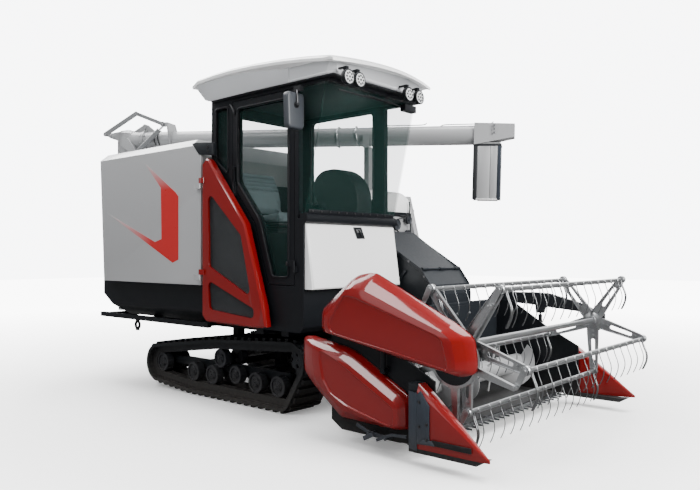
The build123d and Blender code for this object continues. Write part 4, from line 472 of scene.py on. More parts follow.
ZINC = steel_finish("zinc_steel", (0.5, 0.51, 0.52), 0.34)
DARK_STEEL = steel_finish("dark_steel", (0.1, 0.1, 0.105), 0.38, (30.0, 30.0, 3.0))
TINE_STEEL = steel_finish("spring_steel", (0.2, 0.205, 0.21), 0.32, (30.0, 30.0, 3.0))
CHROME = steel_finish("chromed_rod", (0.75, 0.76, 0.77), 0.12, (8.0, 8.0, 8.0), 0.05)
KNIFE = steel_finish("ground_knife", (0.28, 0.29, 0.3), 0.3, (2.0, 40.0, 40.0))
GLASS = glass_finish("green_glass", (0.011, 0.044, 0.038), 0.2)
MESH = coated_finish(
    "screen_mesh", (0.05, 0.055, 0.06), 0.5, metal=0.6, scale=4.0, grain=(1400.0, 0.8), dust=(0.3, 0.2)
)
FABRIC = coated_finish(
    "seat_fabric", (0.10, 0.135, 0.145), 0.85, shade=0.08, scale=9.0, grain=(1200.0, 0.5), dust=(0.1, 0.0)
)
print("steel and glass finishes: 8")

# %% [markdown]
# Every CAD node takes one of these finishes, also where a piece replaces it later on.

# %% Finishes of the CAD nodes
NODE_FINISH = {
    SILVER: "grain_tank front_panel thresher left_cover straw_hood header_auger",
    PALE_GREY: "auger_riser auger_turret auger_boom auger_cradle",
    GREY: "auger_lever auger_link auger_barrel",
    WHITE: "cab_roof",
    RED: "screen_panel upper_shield lower_shield dividers",
    BLACK: "chassis_frame lower_body front_box cab_frame cab_door cab_floor header_barrel "
    "reel_barrel_right reel_barrel_left header_sides",
    SLATE: "track_frames feeder header_frame divider_posts reel_arms",
    RUBBER: "track_right track_left",
    CAST: "rollers drive_axle engine_block",
    PLASTIC: "console mirror",
    LAMP_WHITE: "roof_lamps",
    ZINC: "reel reel_ring",
    DARK_STEEL: "tine_bar_1 tine_bar_2 tine_bar_3 tine_bar_4 tine_bar_5",
    CHROME: "header_rod reel_rod_right reel_rod_left auger_rod",
    KNIFE: "cutter_bar",
    GLASS: "cab_glass door_glass",
    MESH: "screens",
    FABRIC: "seat",
}
for finish, names in NODE_FINISH.items():
    for name in names.split():
        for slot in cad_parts[name].material_slots:
            slot.material = finish
dressed = {name for names in NODE_FINISH.values() for name in names.split()}
print("nodes without a finish:", sorted(set(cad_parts) - dressed))

# %% [markdown]
# Pieces are drawn in plain mesh code. A profile in the side view is drawn out across the machine, a
# profile turned about an axis gives round things, and sharp corners then get a small round edge, because
# real sheet and castings never end in a perfect corner and only a round edge catches the light.

# %% Mesh helpers


def side(x, y, z):
    """A point given in millimetres."""
    return Vector((x * MM, y * MM, z * MM))


def prism(bm, corners, start, end, plane="side"):
    """A profile in millimetres, drawn out from start to end across it."""

    def place(point, depth):
        if plane == "side":
            return side(point[0], depth, point[1])
        if plane == "front":
            return side(depth, point[0], point[1])
        return side(point[0], point[1], depth)

    near = [bm.verts.new(place(p, start)) for p in corners]
    far = [bm.verts.new(place(p, end)) for p in corners]
    faces = [bm.faces.new(near), bm.faces.new(far[::-1])]
    for i in range(len(corners)):
        j = (i + 1) % len(corners)
        faces.append(bm.faces.new((near[j], near[i], far[i], far[j])))
    bmesh.ops.recalc_face_normals(bm, faces=faces)
    return near, far, faces


def walls_between(bm, low, high):
    """Four-sided faces between two closed rings of the same number of points."""
    faces = []
    for i in range(len(low)):
        j = (i + 1) % len(low)
        faces.append(bm.faces.new((low[i], low[j], high[j], high[i])))
    return faces


def block(bm, low, high):
    """A box from its lowest to its highest corner, in millimetres."""
    return prism(
        bm, [(low[0], low[2]), (high[0], low[2]), (high[0], high[2]), (low[0], high[2])], low[1], high[1]
    )


def turned_solid(bm, profile, centre, axis, steps=32):
    """A closed profile of (radius, height) pairs in millimetres, turned about an axis through a centre."""
    turn = Vector(axis).normalized().to_track_quat("Z", "Y").to_matrix().to_4x4()
    place = Matrix.Translation(side(*centre)) @ turn
    rings = []
    for radius, height in profile:
        if radius < 0.01:
            rings.append([bm.verts.new(place @ Vector((0, 0, height * MM)))])
            continue
        ring = []
        for i in range(steps):
            angle = 2 * math.pi * i / steps
            spot = Vector((radius * MM * math.cos(angle), radius * MM * math.sin(angle), height * MM))
            ring.append(bm.verts.new(place @ spot))
        rings.append(ring)
    faces = []
    pairs = list(zip(rings, rings[1:]))
    if len(rings[0]) > 1 and len(rings[-1]) > 1:
        pairs.append((rings[-1], rings[0]))
    for low, high in pairs:
        for i in range(steps):
            j = (i + 1) % steps
            if len(low) == 1:
                faces.append(bm.faces.new((low[0], high[j], high[i])))
            elif len(high) == 1:
                faces.append(bm.faces.new((low[i], low[j], high[0])))
            else:
                faces.append(bm.faces.new((low[i], low[j], high[j], high[i])))
    bmesh.ops.recalc_face_normals(bm, faces=faces)
    return faces


def on_circle(centre, radius, degrees):
    """The point at an angle on a circle, as two numbers in millimetres."""
    angle = math.radians(degrees)
    return centre[0] + radius * math.cos(angle), centre[1] + radius * math.sin(angle)


def round_rod(bm, start, end, radius, sides=16):
    """A straight round bar between two points, in millimetres."""
    length = (side(*end) - side(*start)).length / MM
    axis = side(*end) - side(*start)
    turned_solid(bm, [(0, 0), (radius, 0), (radius, length), (0, length)], start, axis, sides)


def soften(bm, width, segments=2, angle=30, edges=None):
    """Round the edges that are sharper than an angle, by a width in millimetres."""
    if edges is None:
        edges = [e for e in bm.edges if e.is_manifold and e.calc_face_angle(0) > math.radians(angle)]
    bmesh.ops.bevel(
        bm,
        geom=edges,
        offset=width * MM,
        segments=segments,
        profile=0.5,
        affect="EDGES",
        clamp_overlap=True,
    )


def as_piece(name, source, finish, body, smooth=35):
    """A finished piece from a bmesh or a mesh: smooth over gentle edges, riding on its body."""
    if isinstance(source, bpy.types.Mesh):
        mesh = source
        mesh.name = name
    else:
        mesh = bpy.data.meshes.new(name)
        source.to_mesh(mesh)
        source.free()
    mesh.polygons.foreach_set("use_smooth", [True] * len(mesh.polygons))
    mesh.set_sharp_from_angle(angle=math.radians(smooth))
    mesh.materials.clear()
    mesh.materials.append(finish)
    piece = bpy.data.objects.new(name, mesh)
    bpy.context.scene.collection.objects.link(piece)
    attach(piece, body)
    return piece


def copy_of_node(name):
    """A CAD node's own mesh as a bmesh, with its triangles joined up and flat faces made whole."""
    bm = bmesh.new()
    bm.from_mesh(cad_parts[name].data)
    bmesh.ops.remove_doubles(bm, verts=bm.verts, dist=1e-5)
    bmesh.ops.dissolve_limit(bm, angle_limit=math.radians(1), verts=bm.verts, edges=bm.edges)
    return bm


print("helpers ready")

# %% [markdown]
# What repeats or follows a path is made by Geometry Nodes. One tree sets a bolt head with its washer on
# every point of a mesh, each turned along the direction stored on its point. Another turns a line of
# points into a smooth round bar, for pipes, rails, seals and tines, and can repeat it in a row.

# %% Geometry Nodes: bolts and bent bars
# radius over a hexagon's corners and radius of its washer, each as a share of its width across flats
HEAD_SHARE, WASHER_SHARE = 0.577, 0.85


def node_tree(name, inputs):
    """A Geometry Nodes tree with a geometry in and out and named inputs."""
    tree = bpy.data.node_groups.new(name, "GeometryNodeTree")
    tree.interface.new_socket("Geometry", in_out="INPUT", socket_type="NodeSocketGeometry")
    for label, kind, value in inputs:
        socket = tree.interface.new_socket(label, in_out="INPUT", socket_type=kind)
        if value is not None:
            socket.default_value = value
    tree.interface.new_socket("Geometry", in_out="OUTPUT", socket_type="NodeSocketGeometry")
    return tree, tree.nodes.new("NodeGroupInput"), tree.nodes.new("NodeGroupOutput")


def add_node(tree, kind, settings=None, **links):
    """A node with its settings, and its inputs linked or set by name."""
    node = tree.nodes.new(kind)
    for label, value in (settings or {}).items():
        setattr(node, label, value)
    for label, value in links.items():
        socket = node.inputs[label.replace("_", " ")]
        if isinstance(value, bpy.types.NodeSocket):
            tree.links.new(value, socket)
        else:
            socket.default_value = value
    return node


def close_tree(tree, end, geometry, material):
    """Make the instances real, give them their finish, and end the tree."""
    real = add_node(tree, "GeometryNodeRealizeInstances", Geometry=geometry)
    painted = add_node(tree, "GeometryNodeSetMaterial", Geometry=real.outputs[0], Material=material)
    tree.links.new(painted.outputs[0], end.inputs[0])


def run_tree(tree, mesh, values, name, finish, body, smooth=35):
    """Run a tree on a mesh with its inputs set, and keep the result as a plain piece."""
    carrier = bpy.data.objects.new(name + "_carrier", mesh)
    bpy.context.scene.collection.objects.link(carrier)
    modifier = carrier.modifiers.new("build", "NODES")
    modifier.node_group = tree
    known = {item.name: item.identifier for item in tree.interface.items_tree if item.in_out == "INPUT"}
    modifier[known["Finish"]] = finish
    for label, value in values.items():
        modifier[known[label]] = value
    ready = carrier.evaluated_get(bpy.context.evaluated_depsgraph_get())
    made = bpy.data.meshes.new_from_object(ready)
    carrier.modifiers.clear()
    bpy.data.objects.remove(carrier)
    return as_piece(name, made, finish, body, smooth)


def build_bolt_tree():
    """A hexagon head on a washer at every point, turned along the point's own axis."""
    tree, start, end = node_tree(
        "bolt_heads",
        [
            ("Across Flats", "NodeSocketFloat", 0.019),
            ("Head Height", "NodeSocketFloat", 0.008),
            ("Finish", "NodeSocketMaterial", None),
        ],
    )
    head_r = math_node(tree, "MULTIPLY", start.outputs["Across Flats"], HEAD_SHARE)
    washer_r = math_node(tree, "MULTIPLY", start.outputs["Across Flats"], WASHER_SHARE)
    head = add_node(
        tree,
        "GeometryNodeMeshCone",
        Vertices=6,
        Radius_Bottom=head_r,
        Radius_Top=head_r,
        Depth=start.outputs["Head Height"],
    )
    washer = add_node(tree, "GeometryNodeMeshCylinder", Vertices=14, Radius=washer_r, Depth=0.004)
    both = add_node(tree, "GeometryNodeJoinGeometry")
    tree.links.new(head.outputs["Mesh"], both.inputs[0])
    tree.links.new(washer.outputs["Mesh"], both.inputs[0])
    axis = add_node(tree, "GeometryNodeInputNamedAttribute", {"data_type": "FLOAT_VECTOR"}, Name="axis")
    turn = add_node(
        tree, "FunctionNodeAlignRotationToVector", {"axis": "Z"}, Vector=axis.outputs["Attribute"]
    )
    points = add_node(tree, "GeometryNodeMeshToPoints", Mesh=start.outputs["Geometry"])
    heads = add_node(
        tree,
        "GeometryNodeInstanceOnPoints",
        Points=points.outputs[0],
        Instance=both.outputs[0],
        Rotation=turn.outputs[0],
    )
    close_tree(tree, end, heads.outputs[0], start.outputs["Finish"])
    return tree


def build_bar_tree():
    """A line of points as a smooth round bar, repeated in a row."""
    tree, start, end = node_tree(
        "bent_bars",
        [
            ("Radius", "NodeSocketFloat", 0.004),
            ("Sides", "NodeSocketInt", 8),
            ("Steps", "NodeSocketInt", 8),
            ("Count", "NodeSocketInt", 1),
            ("Step", "NodeSocketVector", (0, 0.1, 0)),
            ("Closed", "NodeSocketBool", False),
            ("Finish", "NodeSocketMaterial", None),
        ],
    )
    line = add_node(tree, "GeometryNodeMeshToCurve", Mesh=start.outputs["Geometry"])
    looped = add_node(
        tree, "GeometryNodeSetSplineCyclic", Geometry=line.outputs[0], Cyclic=start.outputs["Closed"]
    )
    nurbs = add_node(tree, "GeometryNodeCurveSplineType", {"spline_type": "NURBS"}, Curve=looped.outputs[0])
    fine = add_node(
        tree, "GeometryNodeSetSplineResolution", Geometry=nurbs.outputs[0], Resolution=start.outputs["Steps"]
    )
    ring = add_node(
        tree,
        "GeometryNodeCurvePrimitiveCircle",
        Resolution=start.outputs["Sides"],
        Radius=start.outputs["Radius"],
    )
    bar = add_node(
        tree, "GeometryNodeCurveToMesh", Curve=fine.outputs[0], Profile_Curve=ring.outputs[0], Fill_Caps=True
    )
    row = add_node(tree, "GeometryNodeMeshLine", Count=start.outputs["Count"], Offset=start.outputs["Step"])
    points = add_node(tree, "GeometryNodeMeshToPoints", Mesh=row.outputs[0])
    bars = add_node(tree, "GeometryNodeInstanceOnPoints", Points=points.outputs[0], Instance=bar.outputs[0])
    close_tree(tree, end, bars.outputs[0], start.outputs["Finish"])
    return tree


BOLT_TREE = build_bolt_tree()
BAR_TREE = build_bar_tree()


def bolts(name, spots, axis, finish, body, flats=19, height=9):
    """Bolt heads at points in millimetres, all along one axis."""
    mesh = bpy.data.meshes.new(name + "_points")
    mesh.from_pydata([side(*s) for s in spots], [], [])
    mesh.attributes.new("axis", "FLOAT_VECTOR", "POINT").data.foreach_set("vector", list(axis) * len(spots))
    values = {"Across Flats": flats * MM, "Head Height": height * MM}
    return run_tree(BOLT_TREE, mesh, values, name, finish, body)


def bent_bar(
    name, points, radius, finish, body, count=1, step=(0, 0, 0), sides=10, closed=False, steps=6
):
    """A smooth round bar through control points in millimetres, and its copies in a row."""
    mesh = bpy.data.meshes.new(name + "_line")
    edges = [(i, i + 1) for i in range(len(points) - 1)]
    if closed:
        edges.append((len(points) - 1, 0))
    mesh.from_pydata([side(*p) for p in points], edges, [])
    values = {
        "Radius": radius * MM,
        "Sides": sides,
        "Steps": steps,
        "Count": count,
        "Step": [s * MM for s in step],
        "Closed": closed,
    }
    return run_tree(BAR_TREE, mesh, values, name, finish, body, 60)


print("trees:", BOLT_TREE.name, BAR_TREE.name)

# %% [markdown]
# The cab roof is a moulded shell on a lower band. The shell's top is a shallow dome with a rolled brim, so it
# is a grid of points whose height follows one curve along the machine and another across it. The band below
# leans inwards and is set back under the brim, where the lamps hang. The band's grey is darker than the
# shell's white and stands for the softer light on the roof's side: painted shade.

# %% Cab roof
ROOF_RIGHT, ROOF_LEFT = -1080, 120
ROOF_REAR, ROOF_NOSE, NOSE_BOW = -510, 1200, 95
ROOF_MID = (ROOF_RIGHT + ROOF_LEFT) / 2
ROOF_HALF = (ROOF_LEFT - ROOF_RIGHT) / 2
# x, height of the roof's centre line
ROOF_LINE = (
    (-510, 2727), (-490, 2762), (-450, 2782), (-200, 2796), (0, 2800), (300, 2791), (600, 2772), (900, 2743),
    (1130, 2712), (1180, 2698), (1200, 2680),
)
BRIM_DROP, BRIM_T, BRIM_IN = 24, 20, 6
# how far the sides lie below the centre line, the share of the half width where the side roll starts, and the
# shares of the length over which it fades in at the rear and out at the nose
CROWN, ROLL_FROM, REAR_SHARE, NOSE_SHARE = 16, 0.93, 0.04, 0.05
BAND_LOW, BAND_TOP_Y, BAND_LOW_Y = 2571, -1068, -1042


def along_table(table, x):
    """Height at x, on straight runs between a table's points."""
    for (x0, z0), (x1, z1) in zip(table, table[1:]):
        if x <= x1:
            return z0 + (z1 - z0) * max(0, x - x0) / (x1 - x0)
    return table[-1][1]


def nose_x(y):
    """The roof's front edge, bowed across the machine."""
    return ROOF_NOSE - NOSE_BOW * ((y - ROOF_MID) / ROOF_HALF) ** 2


def make_roof_shell():
    """The domed top with its rolled brim, closed below."""
    bm = bmesh.new()
    rows, columns = 30, 28
    grid = []
    for i in range(rows + 1):
        u = 1 - (1 - i / rows) ** 1.15
        line = []
        for j in range(columns + 1):
            s = math.sin(math.pi * (j / columns - 0.5))
            y = ROOF_MID + ROOF_HALF * s
            x = ROOF_REAR + u * (nose_x(y) - ROOF_REAR)
            roll = max(0, (abs(s) - ROLL_FROM) / (1 - ROLL_FROM)) ** 2 * BRIM_DROP
            z = along_table(ROOF_LINE, ROOF_REAR + u * (ROOF_NOSE - ROOF_REAR)) - CROWN * s * s
            z -= roll * min(1, u / REAR_SHARE, (1 - u) / NOSE_SHARE)
            line.append(bm.verts.new(side(x, y, z)))
        grid.append(line)
    for a, b in zip(grid, grid[1:]):
        for j in range(columns):
            bm.faces.new((a[j], b[j], b[j + 1], a[j + 1]))
    rim = [e for e in bm.edges if e.is_boundary]
    lower = bmesh.ops.extrude_edge_only(bm, edges=rim)["geom"]
    for v in lower:
        if isinstance(v, bmesh.types.BMVert):
            v.co.z -= BRIM_T * MM
            v.co.y += BRIM_IN * MM * (-1 if v.co.y > ROOF_MID * MM else 1)
    bmesh.ops.holes_fill(bm, edges=[e for e in bm.edges if e.is_boundary])
    bmesh.ops.recalc_face_normals(bm, faces=bm.faces)
    return bm


roof_shell = as_piece("roof_shell", make_roof_shell(), WHITE, "base", 40)


def make_roof_band():
    """The band under the brim, with a recessed strip round its front."""
    bm = bmesh.new()
    # x and y at the top, height at the top, x and y at the bottom, height at the bottom
    right = [
        (-496, -1066, 2714, -385, -1040, 2584),
        (-380, BAND_TOP_Y, 2752, -330, -1040, BAND_LOW),
        (130, BAND_TOP_Y, 2764, 130, BAND_LOW_Y, BAND_LOW),
        (640, BAND_TOP_Y, 2734, 610, BAND_LOW_Y, BAND_LOW),
        (1052, -1064, 2688, 1008, BAND_LOW_Y, BAND_LOW),
    ]
    ring = right + [
        (nose_x(y) - 26 - dip, y, 2672, 1080 - 10 * ((y - ROOF_MID) / ROOF_HALF) ** 2, y, BAND_LOW)
        for y, dip in ((-1000, 6), (-860, 2), (-670, 0), (-480, 0), (-290, 0), (-100, 2), (40, 6))
    ]
    ring += [
        (x0, 2 * ROOF_MID - y0, z0, x1, min(2 * ROOF_MID - y1, 82), z1)
        for x0, y0, z0, x1, y1, z1 in right[::-1]
    ]
    top = [bm.verts.new(side(x, y, z)) for x, y, z, _, _, _ in ring]
    low = [bm.verts.new(side(x, y, z)) for _, _, _, x, y, z in ring]
    walls = walls_between(bm, low, top)
    bm.faces.new(low[::-1])
    bm.faces.new(top)
    bmesh.ops.recalc_face_normals(bm, faces=bm.faces)
    # an inset gives the strip its border, and a second one, pushed in, its step
    strip = walls[3:12]
    bmesh.ops.inset_region(bm, faces=strip, thickness=0.014, depth=0)
    bmesh.ops.inset_region(bm, faces=strip, thickness=0.006, depth=-0.01)
    soften(bm, 5, 2, 35)
    return bm


roof_band = as_piece("roof_band", make_roof_band(), ROOF_BAND_SHADE, "base")
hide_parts("cab_roof")
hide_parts("cab_roof")

bm = bmesh.new()
block(bm, (-320, -1030, 2560), (1066, 76, 2573))
soften(bm, 3)
as_piece("roof_lining", bm, PLASTIC, "base")
print("roof faces:", len(roof_shell.data.polygons), len(roof_band.data.polygons))

# %% [markdown]
# Four round lamps hang under the brim on short brackets. Each has a black rim and a pale lens, turned like
# the real lamp body, and a ring of small dark openings. The openings are set by the bolt tree's neighbour, a
# tree that puts a small cup on every point.

# %% Roof lamps
LAMP_R, LAMP_X, LAMP_Z = 55, 1140, 2528
LAMP_Y = (-1000, -880, -290, -150)
bm = bmesh.new()
for y in LAMP_Y:
    rim = [(0, 0), (34, 0), (50, 14), (LAMP_R, 34), (LAMP_R, 50), (49, 54), (46, 46), (0, 46)]
    turned_solid(bm, rim, (LAMP_X, y, LAMP_Z), (1, 0, 0), 36)
    block(bm, (LAMP_X + 4, y - 14, LAMP_Z + 50), (LAMP_X + 32, y + 14, LAMP_Z + 78))
    block(bm, (LAMP_X - 48, y - 11, LAMP_Z + 66), (LAMP_X + 28, y + 11, LAMP_Z + 78))
lamp_rims = as_piece("lamp_rims", bm, BLACK, "base")
bm = bmesh.new()
for y in LAMP_Y:
    turned_solid(bm, [(0, 47), (46, 47), (45, 51), (30, 53.5), (0, 54.5)], (LAMP_X, y, LAMP_Z), (1, 0, 0), 36)
lamp_lenses = as_piece("lamp_lenses", bm, LAMP_WHITE, "base")


def build_cup_tree():
    """A shallow round cup on every point, facing forwards."""
    tree, start, end = node_tree(
        "cups", [("Radius", "NodeSocketFloat", 0.006), ("Finish", "NodeSocketMaterial", None)]
    )
    cup = add_node(tree, "GeometryNodeMeshCylinder", Vertices=12, Radius=start.outputs["Radius"], Depth=0.003)
    points = add_node(tree, "GeometryNodeMeshToPoints", Mesh=start.outputs["Geometry"])
    cups = add_node(
        tree,
        "GeometryNodeInstanceOnPoints",
        Points=points.outputs[0],
        Instance=cup.outputs[0],
        Rotation=(0, math.radians(90), 0),
    )
    close_tree(tree, end, cups.outputs[0], start.outputs["Finish"])
    return tree


CUP_TREE = build_cup_tree()
# cups in the ring, its radius, and how far in front of the lamp's back it stands
CUPS, CUP_RING, CUP_OUT = 8, 29, 53.6
cup_points = bpy.data.meshes.new("cup_points")
cup_points.from_pydata(
    [
        side(LAMP_X + CUP_OUT, *on_circle((y, LAMP_Z), CUP_RING, 360 / CUPS * i))
        for y in LAMP_Y
        for i in range(CUPS)
    ]
    + [side(LAMP_X + 55, y, LAMP_Z) for y in LAMP_Y],
    [],
    [],
)
run_tree(CUP_TREE, cup_points, {"Radius": 0.0085}, "lamp_cups", BLACK, "base")
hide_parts("roof_lamps")
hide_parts("roof_lamps")
print("lamps:", len(LAMP_Y))

# %% [markdown]
# The mirror hangs from the roof's right front corner on a bent stem with a ball joint. Its back is a
# rounded moulding: an outline of eight corners drawn out, its corners softened first and then its front
# edge.

# %% Mirror
MIRROR = (745, -1100, 2335)
MIRROR_W, MIRROR_H = 172, 262
JOINT_Z, BALL_R = MIRROR[2] + 40, 17
bm = bmesh.new()
half_w, half_h = MIRROR_W / 2, MIRROR_H / 2
shape = [(-half_w + 14, half_h), (half_w - 10, half_h), (half_w, half_h - 30), (half_w, -half_h + 24)]
shape += [
    (half_w - 20, -half_h), (-half_w + 26, -half_h), (-half_w + 8, -half_h + 22), (-half_w, half_h - 24)
]
prism(bm, [(MIRROR[1] + y, MIRROR[2] + z) for y, z in shape], MIRROR[0] - 26, MIRROR[0] + 22, "front")
corners = [e for e in bm.edges if abs(e.verts[0].co.x - e.verts[1].co.x) > 0.01]
soften(bm, 12, 3, edges=corners)
front_rim = [e for e in bm.edges if all(v.co.x > (MIRROR[0] + 21) * MM for v in e.verts)]
soften(bm, 16, 4, edges=front_rim)
mirror_shell = as_piece("mirror_shell", bm, MIRROR_GREY, "base", 50)
bm = bmesh.new()
ball = Matrix.Translation(side(MIRROR[0] + 30, MIRROR[1], JOINT_Z))
bmesh.ops.create_uvsphere(bm, u_segments=20, v_segments=12, radius=BALL_R * MM, matrix=ball)
round_rod(bm, (MIRROR[0] + 16, MIRROR[1], JOINT_Z), (MIRROR[0] + 26, MIRROR[1], JOINT_Z), 24, 24)
block(bm, (MIRROR[0] - 25, -1082, 2478), (MIRROR[0] + 40, -1046, 2520))
mirror_joint = as_piece("mirror_joint", bm, PLASTIC, "base", 50)
stem = [
    (MIRROR[0] + 32, MIRROR[1], JOINT_Z),
    (MIRROR[0] + 32, MIRROR[1], 2420),
    (MIRROR[0] + 30, MIRROR[1] + 2, 2478),
    (740, -1066, 2500),
    (735, -1040, 2500),
]
bent_bar("mirror_stem", stem, 7, DARK_STEEL, "base")
bm = bmesh.new()
glass_back = (MIRROR[0] - 29, MIRROR[1] - 72, MIRROR[2] - 116)
block(bm, glass_back, (MIRROR[0] - 25, MIRROR[1] + 72, MIRROR[2] + 116))
soften(bm, 1.5, 2)
mirror_face = as_piece("mirror_face", bm, CHROME, "base")
for piece in (mirror_shell, mirror_joint, mirror_face):
    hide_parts("mirror")
print("mirror:", MIRROR_W, "by", MIRROR_H, "mm")

# %% [markdown]
# The red shields are thin mouldings with wide soft bevels and a flat field set back in the middle. Each
# is its rim and its field, corner for corner, with rings between them that step outwards: wall, two broad
# bevels, band, step and field. The bevels are wide above and narrow below, as the field lies low in the
# rim, and one of them catches the lamp as a pale stripe. Where an even distance is wanted, an outline is
# moved inwards at every corner.

# %% Red shields


def inner_outline(corners, distance):
    """The outline moved inwards by a distance, corner by corner."""
    count = len(corners)
    area = sum(
        corners[i][0] * corners[(i + 1) % count][1] - corners[(i + 1) % count][0] * corners[i][1]
        for i in range(count)
    )
    turn = 1 if area > 0 else -1
    moved = []
    for i in range(count):
        before, here, after = Vector(corners[i - 1]), Vector(corners[i]), Vector(corners[(i + 1) % count])
        a, b = (here - before).normalized(), (after - here).normalized()
        normal_a, normal_b = Vector((-a.y, a.x)) * turn, Vector((-b.y, b.x)) * turn
        mitre = normal_a + normal_b
        reach = distance / max(0.5, 1 + normal_a.dot(normal_b))
        moved.append((here.x + mitre.x * reach, here.y + mitre.y * reach))
    return moved


def rounded_outline(corners, radius, steps=3):
    """The outline with its corners cut by short arcs."""
    count = len(corners)
    points = []
    for i in range(count):
        before, here, after = Vector(corners[i - 1]), Vector(corners[i]), Vector(corners[(i + 1) % count])
        reach = min(radius, (here - before).length * 0.4, (after - here).length * 0.4)
        start, end = here + (before - here).normalized() * reach, here + (after - here).normalized() * reach
        for k in range(steps + 1):
            t = k / steps
            points.append(tuple(start * (1 - t) ** 2 + here * 2 * t * (1 - t) + end * t * t))
    return points


def lofted_shell(pairs, levels, corner, thickness=5):
    """A moulding lofted from its rim to its field: pairs of corners, and (share of the way, y) levels."""
    rim = rounded_outline([pair[:2] for pair in pairs], corner, 4)
    field = rounded_outline([pair[2:] for pair in pairs], corner / 2, 4)
    bm = bmesh.new()
    rings = []
    for share, y in levels:
        ring = [Vector(a).lerp(Vector(b), share) for a, b in zip(rim, field)]
        rings.append([bm.verts.new(side(p.x, y, p.y)) for p in ring])
    for low, high in zip(rings, rings[1:]):
        walls_between(bm, low, high)
    field_face = bm.faces.new(rings[-1])
    bmesh.ops.recalc_face_normals(bm, faces=bm.faces)
    if field_face.normal.y > 0:
        bmesh.ops.reverse_faces(bm, faces=bm.faces)
    inner = bmesh.ops.duplicate(bm, geom=bm.faces[:] + bm.edges[:] + bm.verts[:])["geom"]
    inner_faces = [g for g in inner if isinstance(g, bmesh.types.BMFace)]
    for v in {v for f in inner_faces for v in f.verts}:
        v.co.y += thickness * MM
    bmesh.ops.reverse_faces(bm, faces=inner_faces)
    bmesh.ops.bridge_loops(bm, edges=[e for e in bm.edges if e.is_boundary])
    return bm


# x and z of each corner of the rim, then of the field
UPPER_SHIELD = (
    (1038, 905, 1186, 842),
    (1032, 780, 1178, 796),
    (1058, 750, 1222, 761),
    (1740, 626, 1700, 688),
    (2170, 563, 2106, 614),
    (2262, 596, 2114, 626),
    (2270, 665, 2108, 652),
    (2252, 800, 2074, 778),
    (2150, 868, 2048, 802),
    (1525, 1165, 1440, 988),
    (1480, 1171, 1415, 997),
    (1385, 1155, 1340, 1012),
    (1325, 1132, 1305, 1010),
)
# share of the way from rim to field, and y
UPPER_LEVELS = (
    (0, -1102), (0, -1114), (0.06, -1126), (0.24, -1151), (0.27, -1155), (0.6, -1188), (0.63, -1190.5),
    (0.9, -1199), (0.93, -1199.5), (0.96, -1197), (1, -1192),
)
upper_piece = as_piece(
    "upper_shield_moulding", lofted_shell(UPPER_SHIELD, UPPER_LEVELS, 34), RED, "reel_arms", 17
)
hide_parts("upper_shield")

LOWER_SHIELD = (
    (852, 704, 1092, 620),
    (935, 716, 1120, 622),
    (1275, 660, 1246, 570),
    (1355, 632, 1312, 534),
    (1755, 418, 1690, 334),
    (1802, 368, 1708, 318),
    (1806, 205, 1708, 222),
    (1735, 177, 1680, 212),
    (1215, 174, 1330, 290),
    (944, 384, 1190, 352),
    (850, 467, 1122, 440),
    (848, 590, 1092, 560),
)
LOWER_LEVELS = (
    (0, -1094), (0, -1106), (0.05, -1118), (0.2, -1146), (0.23, -1150), (0.62, -1180), (0.65, -1182),
    (0.9, -1189), (0.93, -1189.5), (0.96, -1187), (1, -1182),
)
lower_piece = as_piece(
    "lower_shield_moulding", lofted_shell(LOWER_SHIELD, LOWER_LEVELS, 34), RED, "header", 17
)
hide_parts("lower_shield")
print("shield faces:", len(upper_piece.data.polygons), len(lower_piece.data.polygons))

# %% [markdown]
# Each divider nose is a folded red plate: a tall root plate that narrows to the point, with a pale bevel
# along its top edge. The nose is lofted from a few sections, each lower and narrower than the one before.
# A folded plate, its bolts and a dark rail stand on its outside.

# %% Divider noses
SIDES = ((-1, "right"), (1, "left"))
TIP_X, NOSE_X = 2400, 1900
for hand, label in SIDES:
    bm = bmesh.new()
    # x, inner y, outer y, bottom z, top z, width of the top bevel
    sections = (
        (NOSE_X + 4, 1096, 1198, 112, 508, 22),
        (2030, 1114, 1196, 112, 416, 18),
        (2200, 1138, 1194, 112, 286, 12),
        (2330, 1160, 1192, 112, 180, 7),
        (TIP_X - 4, 1178, 1188, 114, 130, 2),
    )
    rings = []
    for x, inner, outer, low, high, bevel in sections:
        ring = [
            (inner, low),
            (outer, low),
            (outer, high - bevel * 2.2),
            (outer - bevel, high),
            (inner + bevel * 0.4, high - bevel * 0.2),
            (inner, high - bevel),
        ]
        rings.append([bm.verts.new(side(x, hand * y, z)) for y, z in ring])
    for low, high in zip(rings, rings[1:]):
        walls_between(bm, low, high)
    bm.faces.new(rings[0])
    bm.faces.new(rings[-1])
    bmesh.ops.recalc_face_normals(bm, faces=bm.faces)
    soften(bm, 3, 2, 28)
    nose = as_piece("divider_nose_" + label, bm, RED, "header", 30)
    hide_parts("dividers")
for hand, label in SIDES:
    bm = bmesh.new()
    prism(bm, [(1908, 444), (1936, 468), (1998, 384), (1998, 150), (1908, 143)], hand * 1199, hand * 1205)
    turned_in = [(1826, hand * 1171), (1826, hand * 1177), (1908, hand * 1205), (1908, hand * 1199)]
    prism(bm, turned_in, 100, 452, "top")
    prism(bm, [(1930, 150), (2040, 150), (2020, 178), (1950, 178)], hand * 1176, hand * 1208)
    soften(bm, 2, 2, 20)
    as_piece("divider_fold_" + label, bm, POST_BLUE, "header")
    fold_spots = [(x, hand * 1206, z) for x, z in ((1925, 400), (1925, 250), (1980, 270), (1980, 180))]
    bolts("divider_bolts_" + label, fold_spots, (0, hand, 0), DARK_STEEL, "header", 12, 6)
    bm = bmesh.new()
    block(bm, (2012, hand * 1190 - 4, 152), (2286, hand * 1190 + 4, 184))
    for v in bm.verts:
        v.co.y += hand * 0.012
    soften(bm, 2)
    as_piece("divider_rail_" + label, bm, BLACK, "header")
print("divider noses: 2")

# %% [markdown]
# The grain tank is a silver box with a broad bevel towards its top and its rear. Its red flash is a thin
# film that follows the side: a flat shape a fraction of a millimetre proud, whose red fades out towards
# its tips through a gradient in the material.

